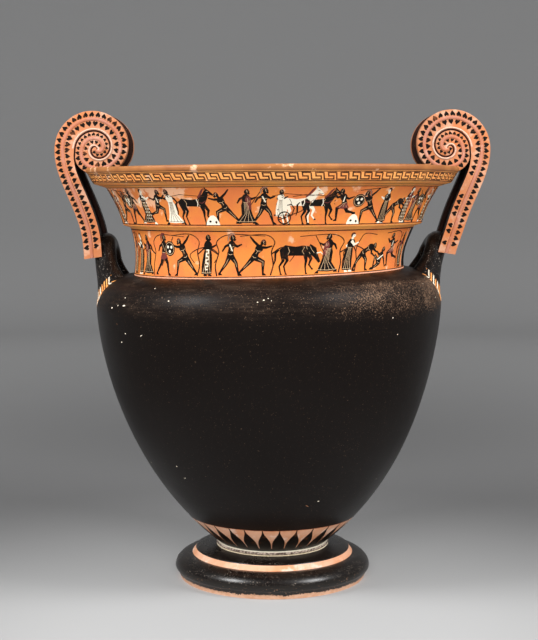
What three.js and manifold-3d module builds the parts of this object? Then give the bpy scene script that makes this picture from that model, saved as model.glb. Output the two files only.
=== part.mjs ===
import * as THREE from 'three';
import { mergeVertices } from 'three/addons/utils/BufferGeometryUtils.js';
import Module from 'manifold-3d';

// An Attic volute krater: a large wheel-thrown bowl for mixing wine, with two scrolled handles.
// Foot, bowl, neck and handles were joined with slip and fired as one piece of clay.
// Millimetres, +Z up, origin at the centre of the foot's underside, on the ground.
// The front faces -Y and the handles stand at -X and +X.

const wasm = await Module();
wasm.setup();

// Driving dimensions: radii and heights of the thrown profile, from the ground up.
const SEGMENTS = 44;
const WALL = 8;

const FOOT = {
  hollowRadius: 92,
  hollowHeight: 26,
  standingRadius: 119.5,
  chamferAngle: -0.53,
  torusCentreRadius: 104,
  torusCentreHeight: 13.5,
  torusWidth: 22,
  torusRise: 16.5,
  torusDrop: 8.5,
  discRadius: 99,
  discHeight: 37,
  discCrown: 40.5,
};

const RING = { radius: 70, bulge: 3, height: 46 };

const BODY = {
  lowReach: new THREE.Vector2(202.3, 148.2),
  highReach: new THREE.Vector2(221.1, 327.7),
  radius: 221.4,
  height: 352.2,
  shoulderRise: 25,
  shoulderReach: 203,
};

const NECK = {
  baseHeight: 396,
  baseRadius: 173.5,
  waistRadius: 171.5,
  stepHeight: 452,
  stepRadius: 182,
  flareHeight: 457,
  flareRadius: 192,
  topHeight: 503,
  topRadius: 213,
};

const RIM = {
  lowHeight: 508,
  lowRadius: 229,
  bandHeight: 520.5,
  bandRadius: 236.5,
  lipHeight: 523,
  lipRadius: 239,
  topHeight: 528,
  mouthRadius: 208,
};

// Each handle: a strap with two flanges and a recessed web, which rises and rolls into a volute.
const HANDLE = {
  width: 84,
  flange: 13,
  band: 22.5,
  recess: 5,
};

const VOLUTE = {
  x: 222.7,
  z: 553.5,
  radius: 51.7,
  slitTurn: 0.965,
  eyeTurn: 2.1,
  grooveWidth: 2.4,
  grooveDepth: 2,
};

// The strap's centre line, from its cut-off lower end up to the start of the volute.
const STRAP = new THREE.CubicBezierCurve(
  new THREE.Vector2(223.4, 416.5),
  new THREE.Vector2(234, 488),
  new THREE.Vector2(265, 512.5),
  new THREE.Vector2(VOLUTE.x + VOLUTE.radius - HANDLE.band / 2, VOLUTE.z),
);
const STRAP_STEPS = 6;
const SLIT_START = 0.84;

// The stirrup under the strap: an arch on two legs that stand on the shoulder.
const ARCH = {
  sectionRadius: 13.5,
  sectionSides: 10,
  steps: 18,
  flareHeight: 414,
  flareDepth: 29,
  flare: 16,
};
const ARCH_PATH = new THREE.CatmullRomCurve3([
  new THREE.Vector3(204, -31, 368),
  new THREE.Vector3(204.5, -31, 386),
  new THREE.Vector3(206.5, -30.5, 403),
  new THREE.Vector3(209.5, -26, 418),
  new THREE.Vector3(212.5, -14, 429),
  new THREE.Vector3(213.5, 0, 432),
  new THREE.Vector3(212.5, 14, 429),
  new THREE.Vector3(209.5, 26, 418),
  new THREE.Vector3(206.5, 30.5, 403),
  new THREE.Vector3(204.5, 31, 386),
  new THREE.Vector3(204, 31, 368),
]);

// The bowl dried slightly out of true: it leans towards -X, and its shoulder is higher at +X.
const LEAN = {
  shift: -4.4,
  shiftFrom: 60,
  shiftFull: 300,
  shiftKeep: 396,
  shiftEnd: 457,
  shoulderSlope: 0.028,
  slopeFrom: 250,
  mouthSlope: 0.007,
};

/** Turns a closed geometry into a solid: shared vertices, no empty triangles, faces outwards. */
function solid(geometry) {
  geometry.deleteAttribute('normal');
  geometry.deleteAttribute('uv');
  const merged = mergeVertices(geometry, 1e-3);
  const positions = merged.getAttribute('position');
  const corners = [new THREE.Vector3(), new THREE.Vector3(), new THREE.Vector3()];
  const triangles = [];
  let volume = 0;
  for (let i = 0; i < merged.index.count; i += 3) {
    const [a, b, c] = merged.index.array.slice(i, i + 3);
    if (a === b || b === c || c === a) continue;
    triangles.push([a, b, c]);
    [a, b, c].forEach((vertex, corner) => corners[corner].fromBufferAttribute(positions, vertex));
    volume += corners[0].dot(corners[1].clone().cross(corners[2]));
  }
  if (volume < 0) triangles.forEach((triangle) => triangle.reverse());
  return new wasm.Manifold(new wasm.Mesh({
    numProp: 3,
    vertProperties: new Float32Array(positions.array),
    triVerts: new Uint32Array(triangles.flat()),
  }));
}

/** Turns a profile, given from the axis round to the axis, on the vertical axis. */
function turned(profile) {
  return solid(new THREE.LatheGeometry(profile, SEGMENTS).rotateX(Math.PI / 2));
}

/** Underside, standing ring, torus, stepped disc and the ring that carries the bowl. */
function footProfile() {
  const hollow = new THREE.Path();
  hollow.moveTo(0, FOOT.hollowHeight);
  hollow.bezierCurveTo(
    0.7 * FOOT.hollowRadius, FOOT.hollowHeight,
    FOOT.hollowRadius - 4, 0.6 * FOOT.hollowHeight,
    FOOT.hollowRadius, 0,
  );
  const torus = new THREE.Path();
  torus.moveTo(FOOT.hollowRadius, 0);
  torus.lineTo(FOOT.standingRadius, 0);
  torus.absellipse(
    FOOT.torusCentreRadius, FOOT.torusCentreHeight,
    FOOT.torusWidth, FOOT.torusDrop, FOOT.chamferAngle, 0,
  );
  torus.absellipse(
    FOOT.torusCentreRadius, FOOT.torusCentreHeight,
    FOOT.torusWidth, FOOT.torusRise, 0, Math.PI / 2,
  );
  const disc = new THREE.Path();
  disc.moveTo(FOOT.discRadius, FOOT.discHeight);
  disc.quadraticCurveTo(
    FOOT.discRadius - 4, FOOT.discCrown - 1,
    RING.radius, FOOT.discCrown,
  );
  disc.quadraticCurveTo(
    RING.radius + 2 * RING.bulge, (FOOT.discCrown + RING.height) / 2,
    RING.radius, RING.height,
  );
  return [...hollow.getPoints(4), ...torus.getPoints(3), ...disc.getPoints(3)];
}

/** The bowl's outside, from the ring over the belly and the shoulder to the foot of the neck. */
function bodyProfile() {
  const body = new THREE.Path();
  body.moveTo(RING.radius, RING.height);
  body.bezierCurveTo(
    BODY.lowReach.x, BODY.lowReach.y,
    BODY.highReach.x, BODY.highReach.y,
    BODY.radius, BODY.height,
  );
  const shoulder = new THREE.Path();
  shoulder.moveTo(BODY.radius, BODY.height);
  shoulder.bezierCurveTo(
    BODY.radius, BODY.height + BODY.shoulderRise,
    BODY.shoulderReach, NECK.baseHeight,
    NECK.baseRadius, NECK.baseHeight,
  );
  return [...body.getPoints(12), ...shoulder.getPoints(6).slice(1)];
}

/** The two concave bands of the neck, with the small step between them. */
function neckProfile() {
  const low = new THREE.Path();
  low.moveTo(NECK.baseRadius, NECK.baseHeight);
  low.bezierCurveTo(
    NECK.waistRadius, NECK.baseHeight + 18,
    NECK.waistRadius + 2, NECK.stepHeight - 22,
    NECK.stepRadius, NECK.stepHeight,
  );
  const high = new THREE.Path();
  high.moveTo(NECK.flareRadius, NECK.flareHeight);
  high.bezierCurveTo(
    NECK.flareRadius + 3, NECK.flareHeight + 15,
    NECK.topRadius - 9, NECK.topHeight - 14,
    NECK.topRadius, NECK.topHeight,
  );
  return [...low.getPoints(4).slice(1), ...high.getPoints(4)];
}

/** The overhanging rim with its slanting face and the moulding around its top. */
function rimProfile() {
  return [
    new THREE.Vector2(RIM.lowRadius, RIM.lowHeight),
    new THREE.Vector2(RIM.bandRadius, RIM.bandHeight),
    new THREE.Vector2(RIM.lipRadius, RIM.lipHeight),
    new THREE.Vector2(RIM.lipRadius, RIM.topHeight - 2),
    new THREE.Vector2(RIM.lipRadius - 2.5, RIM.topHeight),
  ];
}

/** The whole outside of the pot as one solid of revolution, not yet hollow. */
function outside() {
  return turned([
    ...footProfile(),
    ...bodyProfile(),
    ...neckProfile(),
    ...rimProfile(),
    new THREE.Vector2(0, RIM.topHeight),
  ]);
}

/** The room inside the pot, one wall's thickness within the outside, up to a given height. */
function hollow(height) {
  const bowl = new THREE.Path();
  bowl.moveTo(0, RING.height + WALL + 1);
  bowl.lineTo(RING.radius - 2 * WALL, RING.height + WALL + 1);
  bowl.bezierCurveTo(
    BODY.lowReach.x - WALL - 3, BODY.lowReach.y + WALL,
    BODY.highReach.x - WALL, BODY.highReach.y,
    BODY.radius - WALL, BODY.height,
  );
  bowl.bezierCurveTo(
    BODY.radius - WALL, BODY.height + BODY.shoulderRise - WALL,
    BODY.shoulderReach - WALL, NECK.baseHeight - WALL,
    NECK.baseRadius - WALL, NECK.baseHeight - WALL,
  );
  const neck = new THREE.Path();
  neck.moveTo(NECK.waistRadius - WALL, NECK.baseHeight + 18);
  neck.quadraticCurveTo(
    NECK.waistRadius - WALL + 2, NECK.stepHeight - 8,
    NECK.flareRadius - WALL, NECK.flareHeight + 4,
  );
  neck.lineTo(NECK.topRadius - WALL, NECK.topHeight);
  neck.lineTo(RIM.mouthRadius, RIM.bandHeight);
  return turned([
    ...bowl.getPoints(7),
    ...neck.getPoints(3),
    new THREE.Vector2(RIM.mouthRadius, height),
    new THREE.Vector2(0, height),
  ]);
}

/** A point on the volute's edge, after a number of turns from its outermost point over the top. */
function coilPoint(turn, inset = 0) {
  const radius = VOLUTE.radius - HANDLE.band * turn - inset;
  const angle = 2 * Math.PI * turn;
  return new THREE.Vector2(
    VOLUTE.x + radius * Math.cos(angle),
    VOLUTE.z + radius * Math.sin(angle),
  );
}

/** A point beside the strap's centre line, at a distance towards its outer side. */
function strapPoint(along, side) {
  const tangent = STRAP.getTangent(along);
  return STRAP.getPoint(along).add(new THREE.Vector2(tangent.y, -tangent.x).multiplyScalar(side));
}

/** Side view of strap and volute in X and Z, drawn in all round by an inset. */
function handleOutline(inset) {
  const half = HANDLE.band / 2 - inset;
  const points = [];
  for (let i = 0; i < STRAP_STEPS; i++) {
    points.push(strapPoint(i / STRAP_STEPS, half));
  }
  const coilSteps = 22;
  for (let i = 0; i <= coilSteps; i++) {
    points.push(coilPoint(VOLUTE.slitTurn * i / coilSteps, inset));
  }
  for (let i = STRAP_STEPS; i >= 0; i--) {
    points.push(strapPoint(SLIT_START * i / STRAP_STEPS, -half));
  }
  return new THREE.Shape(points);
}

/** A slab with an outline in X and Z, from one Y to another. */
function slab(outline, from, to) {
  const geometry = new THREE.ExtrudeGeometry(outline, { depth: to - from, bevelEnabled: false });
  return solid(geometry.rotateX(Math.PI / 2).translate(0, to, 0));
}

/** The groove that parts the volute's inner turns, as a cutter for one flange's face. */
function coilGroove(from, to) {
  const half = VOLUTE.grooveWidth / 2;
  const steps = 16;
  const turns = Array.from({ length: steps + 1 }, (_, i) => (
    THREE.MathUtils.lerp(VOLUTE.slitTurn + 0.03, VOLUTE.eyeTurn, i / steps)
  ));
  return slab(new THREE.Shape([
    ...turns.map((turn) => coilPoint(turn, -half)),
    ...turns.toReversed().map((turn) => coilPoint(turn, half)),
  ]), from, to);
}

/** One flange of the strap and volute, with the coil cut into its outer face. */
function flange(side) {
  const face = side * HANDLE.width / 2;
  const back = face - side * HANDLE.flange;
  const bottom = face - side * VOLUTE.grooveDepth;
  const plate = slab(handleOutline(0), Math.min(face, back), Math.max(face, back));
  return plate.subtract(coilGroove(Math.min(bottom, face + side), Math.max(bottom, face + side)));
}

/** The recessed web between the flanges. */
function web() {
  const half = HANDLE.width / 2 - HANDLE.flange + 1;
  return slab(handleOutline(HANDLE.recess), -half, half);
}

/** The stirrup that carries the strap, with legs that spread towards the neck at the shoulder. */
function arch() {
  const section = new THREE.Shape();
  section.absarc(0, 0, ARCH.sectionRadius, 0, 2 * Math.PI);
  const geometry = new THREE.ExtrudeGeometry(section, {
    extrudePath: ARCH_PATH,
    steps: ARCH.steps,
    curveSegments: ARCH.sectionSides / 2,
    bevelEnabled: false,
  });
  const positions = geometry.getAttribute('position');
  const legs = ARCH_PATH.points[0].x;
  for (let i = 0; i < positions.count; i++) {
    const drop = Math.max(0, ARCH.flareHeight - positions.getZ(i)) / ARCH.flareDepth;
    const inward = THREE.MathUtils.clamp((legs - positions.getX(i)) / ARCH.sectionRadius, 0, 1);
    positions.setX(i, positions.getX(i) - ARCH.flare * inward * drop ** 1.35);
  }
  return solid(geometry);
}

/** The handle at +X, trimmed where it meets the mouth and the wall. */
function handle() {
  return web().add(flange(-1)).add(flange(1)).add(arch()).subtract(hollow(RIM.topHeight));
}

/** Moves one vertex from the true turned form to the slightly leaning one. */
function settle(point) {
  const { smoothstep, lerp } = THREE.MathUtils;
  const rising = smoothstep(point.z, LEAN.shiftFrom, LEAN.shiftFull);
  const falling = 1 - smoothstep(point.z, LEAN.shiftKeep, LEAN.shiftEnd);
  const shoulder = smoothstep(point.z, LEAN.slopeFrom, NECK.baseHeight);
  const mouth = smoothstep(point.z, NECK.baseHeight, NECK.flareHeight);
  const slope = lerp(LEAN.shoulderSlope * shoulder, LEAN.mouthSlope, mouth);
  const held = Math.min(1, NECK.baseRadius / Math.max(Math.abs(point.x), 1));
  point.z += slope * point.x * held ** 2;
  point.x += LEAN.shift * rising * falling;
  return point;
}

/** The finished pot as one closed geometry. */
function kraterGeometry() {
  const right = handle();
  const left = solid(toGeometry(right).rotateZ(Math.PI));
  const pot = outside().subtract(hollow(RIM.topHeight + 20)).add(right).add(left);
  const geometry = toGeometry(pot);
  const positions = geometry.getAttribute('position');
  const point = new THREE.Vector3();
  for (let i = 0; i < positions.count; i++) {
    settle(point.fromBufferAttribute(positions, i));
    positions.setXYZ(i, point.x, point.y, point.z);
  }
  geometry.computeVertexNormals();
  return geometry;
}

/** A solid's triangles as a three.js geometry. */
function toGeometry(manifold) {
  const { vertProperties, triVerts } = manifold.getMesh();
  const geometry = new THREE.BufferGeometry();
  geometry.setAttribute('position', new THREE.BufferAttribute(vertProperties, 3));
  geometry.setIndex(new THREE.BufferAttribute(triVerts, 1));
  return geometry;
}

const blackGloss = new THREE.MeshStandardMaterial({
  color: 0x1d1a18,
  roughness: 0.35,
  metalness: 0,
});

const krater = new THREE.Mesh(kraterGeometry(), blackGloss);
krater.name = 'krater';

const group = new THREE.Group();
group.add(krater);

export default group;
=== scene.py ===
"""An Attic black-figure volute krater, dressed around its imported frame.

The pot is thrown, so its wall is one spun profile. The handles are swept and extruded on to it.
The painted ornament is laid on as thin closed plates of slip, which follow the curve of the clay.
Sizes are in millimetres and in the true turned form; the last step of each piece lets it lean a
little, as the pot did when it dried, and turns it into metres.
"""

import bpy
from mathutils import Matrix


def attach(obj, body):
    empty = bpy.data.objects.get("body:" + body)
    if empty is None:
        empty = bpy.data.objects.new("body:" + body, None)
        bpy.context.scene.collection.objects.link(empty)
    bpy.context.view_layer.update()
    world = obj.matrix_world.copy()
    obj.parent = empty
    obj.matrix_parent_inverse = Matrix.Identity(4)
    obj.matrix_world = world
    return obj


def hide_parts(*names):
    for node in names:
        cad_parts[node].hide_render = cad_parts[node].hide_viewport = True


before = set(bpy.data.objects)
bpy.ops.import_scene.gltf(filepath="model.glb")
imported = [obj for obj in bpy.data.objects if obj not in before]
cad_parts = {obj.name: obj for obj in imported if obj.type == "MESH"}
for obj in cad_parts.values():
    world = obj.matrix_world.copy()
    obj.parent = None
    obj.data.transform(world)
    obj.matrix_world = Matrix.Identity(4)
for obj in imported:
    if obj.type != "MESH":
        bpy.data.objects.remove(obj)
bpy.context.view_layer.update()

import logging
import math
import random
from bisect import bisect_right
from dataclasses import dataclass
from enum import Enum
from typing import Callable, Iterable, Sequence, Union

import bmesh
import bpy
from mathutils import Vector
from mathutils.geometry import interpolate_bezier
from mathutils.kdtree import KDTree

log = logging.getLogger("krater")

MM = 0.001
FULL_TURN = 2 * math.pi
Colour = tuple[float, float, float]
Spot = tuple[float, float]
Term = Union["Value", float]
Socket = bpy.types.NodeSocket
BMesh = bmesh.types.BMesh


# Shader tools

class Value:
    """A number on its way through a material, with the usual arithmetic."""

    def __init__(self, desk: "Desk", socket: Socket) -> None:
        """Wraps one output socket of a node on the desk."""
        self.desk = desk
        self.socket = socket

    def _maths(self, operation: str, *terms: Term) -> "Value":
        """Adds one Math node with these terms and returns its result."""
        node = self.desk.node("ShaderNodeMath", {"operation": operation}, dict(enumerate(terms)))
        return Value(self.desk, node.outputs[0])

    def __add__(self, other: Term) -> "Value":
        """self + other"""
        return self._maths("ADD", self, other)

    def __radd__(self, other: Term) -> "Value":
        """other + self"""
        return self._maths("ADD", other, self)

    def __sub__(self, other: Term) -> "Value":
        """self - other"""
        return self._maths("SUBTRACT", self, other)

    def __rsub__(self, other: Term) -> "Value":
        """other - self"""
        return self._maths("SUBTRACT", other, self)

    def __mul__(self, other: Term) -> "Value":
        """self * other"""
        return self._maths("MULTIPLY", self, other)

    def __rmul__(self, other: Term) -> "Value":
        """other * self"""
        return self._maths("MULTIPLY", other, self)

    def step(self, low: float, high: float) -> "Value":
        """Rises smoothly from 0 at low to 1 at high, or falls if high is the smaller.

        Args:
            low: The value at which the result is 0.
            high: The value at which the result is 1.

        Returns:
            The share, from 0 to 1.
        """
        if high < low:
            return 1 - self.step(high, low)
        node = self.desk.node(
            "ShaderNodeMapRange", {"interpolation_type": "SMOOTHSTEP"},
            {"Value": self, "From Min": low, "From Max": high},
        )
        return Value(self.desk, node.outputs[0])

    def within(self, rising: Spot, falling: Spot) -> "Value":
        """Rises from 0 to 1 over the first two values and falls back over the other two."""
        return self.step(*rising) * self.step(*falling)


class Desk:
    """One material being made: its node tree, its shader and the usual ingredients."""

    def __init__(self, name: str) -> None:
        """Starts a material with only a Principled shader, and reads the object's coordinates.

        Args:
            name: The material's name.
        """
        self.material = bpy.data.materials.new(name)
        self.material.use_nodes = True
        self.tree = self.material.node_tree
        self.tree.nodes.clear()
        self.shader = self.node("ShaderNodeBsdfPrincipled")
        self.node("ShaderNodeOutputMaterial", None, {"Surface": self.shader.outputs[0]})
        self.here = self.node("ShaderNodeTexCoord").outputs["Object"]
        axes = self.node("ShaderNodeSeparateXYZ", None, {0: self.here})
        self.across, _, self.height = (Value(self, out) for out in axes.outputs)

    def node(self, kind: str, settings: dict | None = None,
             sockets: dict | None = None) -> bpy.types.Node:
        """Adds any node.

        Args:
            kind: The node's type.
            settings: Its properties, which are set first.
            sockets: What goes into its inputs, by name or number: a Value, a socket or a constant.

        Returns:
            The new node.
        """
        node = self.tree.nodes.new(kind)
        for name, value in (settings or {}).items():
            setattr(node, name, value)
        for key, value in (sockets or {}).items():
            self.feed(node.inputs[key], value)
        return node

    def feed(self, socket: Socket, value: object) -> None:
        """Links or sets one input. A colour of three numbers is given an alpha of 1.

        Args:
            socket: The input.
            value: A Value, a socket or a constant.
        """
        if isinstance(value, Value):
            value = value.socket
        if isinstance(value, Socket):
            self.tree.links.new(value, socket)
        elif socket.type == "RGBA":
            socket.default_value = (*value, 1.0)
        else:
            socket.default_value = value

    def noise(self, size: float, detail: float = 3.0, roughness: float = 0.5,
              where: Socket | None = None) -> Value:
        """Cloudy noise.

        Args:
            size: How large its blotches are, in millimetres.
            detail: How many finer layers lie on them.
            roughness: How strong the finer layers are.
            where: The coordinates, if not the object's own.

        Returns:
            The noise, about 0.5 on average.
        """
        node = self.node("ShaderNodeTexNoise", None, {
            "Vector": where or self.here, "Scale": 1 / (size * MM),
            "Detail": detail, "Roughness": roughness,
        })
        return Value(self, node.outputs[0])

    def drawn_out(self, sideways: float) -> Socket:
        """Coordinates in which a pattern is drawn out sideways, as wheel marks are."""
        scale = (1 / sideways, 1 / sideways, 1.0)
        node = self.node("ShaderNodeMapping", None, {"Vector": self.here, "Scale": scale})
        return node.outputs[0]

    def mix(self, share: Term, first: object, second: object) -> Socket:
        """The first colour where share is 0 and the second where it is 1."""
        node = self.node("ShaderNodeMix", {"data_type": "RGBA"}, {0: share, 6: first, 7: second})
        return node.outputs[2]

    def relief(self, height: Value, depth: float) -> Socket:
        """A bump whose height of 1 stands for so many millimetres."""
        node = self.node("ShaderNodeBump", None, {"Height": height, "Distance": depth * MM})
        return node.outputs[0]

    def dress(self, colour: object, roughness: object, relief: object = None,
              shine: float = 0.5) -> None:
        """Feeds the shader.

        Args:
            colour: The base colour.
            roughness: The roughness.
            relief: A bump, if there is one.
            shine: The specular level.
        """
        self.feed(self.shader.inputs["Base Color"], colour)
        self.feed(self.shader.inputs["Roughness"], roughness)
        self.feed(self.shader.inputs["Specular IOR Level"], shine)
        if relief is not None:
            self.feed(self.shader.inputs["Normal"], relief)


# Finishes

@dataclass(frozen=True)
class Finish:
    """One surface of the fired pot."""

    name: str

    def paint(self, desk: Desk) -> None:
        """Builds the finish on a new material's desk."""
        raise NotImplementedError

    def material(self) -> bpy.types.Material:
        """The finish's material, made on first use.

        Returns:
            The material.
        """
        known = bpy.data.materials.get(self.name)
        if known is not None:
            return known
        desk = Desk(self.name)
        self.paint(desk)
        return desk.material


@dataclass(frozen=True)
class Gloss(Finish):
    """Sintered black slip, misfired brown and rubbed on the shoulder, with pale specks and a
    painted sheen.
    """

    slip: Colour = (0.0052, 0.0036, 0.0030)
    misfired: Colour = (0.0125, 0.0062, 0.0043)
    streak_and_sheen_grey: Colour = (0.040, 0.027, 0.019)
    speck: Colour = (0.195, 0.122, 0.078)
    dark_speck: Colour = (0.085, 0.050, 0.031)
    misfire_and_sheen_zone: tuple[Spot, Spot] = ((0.343, 0.364), (0.405, 0.393))
    crumbled_zone: tuple[Spot, Spot] = ((0.340, 0.364), (0.395, 0.387))
    worn_side: Spot = (0.045, 0.145)
    rubbed: float = 1.0
    specks: float = 0.0
    dull: float = 0.33
    shine: float = 0.12

    def paint(self, desk: Desk) -> None:
        """Mixes the slip, its misfired zone, wheel streaks and specks.

        Args:
            desk: The new material's desk.
        """
        high = desk.height.within(*self.misfire_and_sheen_zone)
        band = desk.height.within(*self.crumbled_zone)
        side = 0.12 + 0.88 * desk.across.step(*self.worn_side)
        blotch = desk.noise(46, 4, 0.6).step(0.36, 0.62)
        streak = desk.noise(3.4, 4, 0.65, desk.drawn_out(9)).step(0.42, 0.70)
        worn = high * (0.30 + 0.70 * blotch) * self.rubbed
        colour = desk.mix(worn * (0.35 + 0.50 * side), self.slip, self.misfired)
        # Grey streaks on the shoulder: partly wheel marks, partly a painted sheen of the overhead
        # lamps.
        colour = desk.mix(worn * streak * 0.6, colour, self.streak_and_sheen_grey)
        fine = desk.noise(1.6, 4, 0.66)
        lost = band * side * (0.45 + 0.55 * blotch) * 0.165 * self.rubbed
        crumbs = (fine + lost + band * 0.03 * self.rubbed + self.specks).step(0.645, 0.71)
        stray = desk.noise(2.0, 1, 0.3).step(0.80, 0.82)
        marks = (crumbs * 0.8 + stray * 0.5).step(0.0, 1.0)
        tone = desk.noise(9, 2).step(0.3, 0.7)
        pale = desk.mix(tone, self.speck, self.dark_speck)
        colour = desk.mix(marks, colour, pale)
        cloud = desk.noise(60, 3).step(0.35, 0.7)
        rough = self.dull + 0.07 * cloud + 0.20 * marks + 0.12 * worn
        marks_of_wheel = desk.noise(5, 2, 0.5, desk.drawn_out(14))
        height = marks_of_wheel * 0.6 - marks * 0.5
        desk.dress(colour, rough, desk.relief(height, 0.12), self.shine)


@dataclass(frozen=True)
class Clay(Finish):
    """Reserved fired clay under a thin wash, with pale worn places.

    The left patches are more of these places high up, most of all at the pot's left.
    """

    base: Colour = (0.75, 0.235, 0.044)
    warm: Colour = (0.70, 0.185, 0.048)
    pale: Colour = (0.88, 0.52, 0.32)
    patches: float = 0.5
    left_patches: float = 0.0
    left_side: Spot = (-0.05, -0.15)
    high_up: Spot = (0.462, 0.492)
    stain: Colour = (0.20, 0.085, 0.035)
    dull: float = 0.44

    def paint(self, desk: Desk) -> None:
        """Mixes the wash's two tones, the pale patches and a little staining.

        Args:
            desk: The new material's desk.
        """
        colour = desk.mix(desk.noise(34, 4, 0.55).step(0.38, 0.64), self.base, self.warm)
        left = 0.4 + 0.9 * desk.across.step(*self.left_side)
        left = left * desk.height.step(*self.high_up)
        patch = desk.noise(19, 4, 0.6) + left * 0.16 * self.left_patches
        patch = patch.step(0.66 - 0.14 * self.patches, 0.74 - 0.10 * self.patches)
        colour = desk.mix(patch * 0.85, colour, self.pale)
        stain = desk.noise(5.5, 5, 0.65).step(0.64, 0.74)
        colour = desk.mix(stain * 0.45, colour, self.stain)
        grain = desk.noise(0.9, 2)
        rough = self.dull + 0.14 * patch + 0.08 * grain
        desk.dress(colour, rough, desk.relief(grain + desk.noise(7, 3) * 0.8, 0.10), 0.4)


@dataclass(frozen=True)
class Thinned(Finish):
    """Black slip brushed in thin strokes, which fires brown where it is thinnest."""

    thick: Colour = (0.007, 0.005, 0.004)
    thin: Colour = (0.085, 0.030, 0.012)
    thinness: float = 0.16

    def paint(self, desk: Desk) -> None:
        """Mixes thick and thin by a blotchy brush load.

        Args:
            desk: The new material's desk.
        """
        load = desk.noise(8, 3, 0.55) + desk.noise(1.6, 2) * 0.25
        share = load.step(0.80 - self.thinness * 0.55, 0.92 - self.thinness * 0.45)
        colour = desk.mix(share, self.thick, self.thin)
        desk.dress(colour, 0.40 + 0.12 * share, desk.relief(desk.noise(1.2, 2), 0.04), 0.16)


@dataclass(frozen=True)
class Pigment(Finish):
    """Added white or purple-red, matt, and rubbed away in places."""

    colour: Colour = (0.86, 0.78, 0.62)
    rubbed: Colour = (0.66, 0.42, 0.26)
    loss: float = 0.3

    def paint(self, desk: Desk) -> None:
        """Mixes the pigment with what shows where it is rubbed.

        Args:
            desk: The new material's desk.
        """
        gone = desk.noise(3.4, 4, 0.6).step(0.72 - 0.25 * self.loss, 0.80 - 0.22 * self.loss)
        colour = desk.mix(gone, self.colour, self.rubbed)
        desk.dress(colour, 0.62 - 0.12 * gone, desk.relief(desk.noise(0.8, 2), 0.05), 0.3)


@dataclass(frozen=True)
class FootEdge(Finish):
    """The foot's lower edge, where the black slip ends in a ragged line above bare clay."""

    edge: float = 5.2
    softness: float = 0.4
    clay: Colour = (0.62, 0.33, 0.20)
    pale_clay: Colour = (0.70, 0.42, 0.28)
    slip: Colour = (0.0085, 0.0068, 0.0055)
    crumbled_zone: Spot = (0.020, 0.009)

    def paint(self, desk: Desk) -> None:
        """Sets the ragged line by height, with crumbs lost above it.

        Args:
            desk: The new material's desk.
        """
        ragged = (desk.noise(2.2, 4, 0.65) - 0.5) * 0.0075 + (desk.noise(16, 2) - 0.5) * 0.004
        low, high = (self.edge - self.softness) * MM, (self.edge + self.softness) * MM
        black = (desk.height + ragged).step(low, high)
        clay = desk.mix(desk.noise(9, 4, 0.6).step(0.4, 0.65), self.clay, self.pale_clay)
        crumbs = desk.noise(2.6, 4, 0.62).step(0.63, 0.67) * desk.height.step(*self.crumbled_zone)
        colour = desk.mix(black * (1 - crumbs * 0.8), clay, self.slip)
        rough = 0.55 - 0.20 * black
        relief = desk.relief(black + desk.noise(1.5, 2) * 0.5, 0.12)
        desk.dress(colour, rough, relief, 0.42)


@dataclass(frozen=True)
class Mottle(Finish):
    """The fillet above the foot: thin slip rubbed to a brown and grey mottle."""

    dark: Colour = (0.075, 0.045, 0.032)
    light: Colour = (0.56, 0.44, 0.36)

    def paint(self, desk: Desk) -> None:
        """Mixes the two in small crumbs.

        Args:
            desk: The new material's desk.
        """
        crumbs = desk.noise(3.0, 4, 0.65).step(0.40, 0.62)
        colour = desk.mix(crumbs, self.dark, self.light)
        desk.dress(colour, 0.5 + 0.1 * crumbs, desk.relief(crumbs, 0.15), 0.4)


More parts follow.
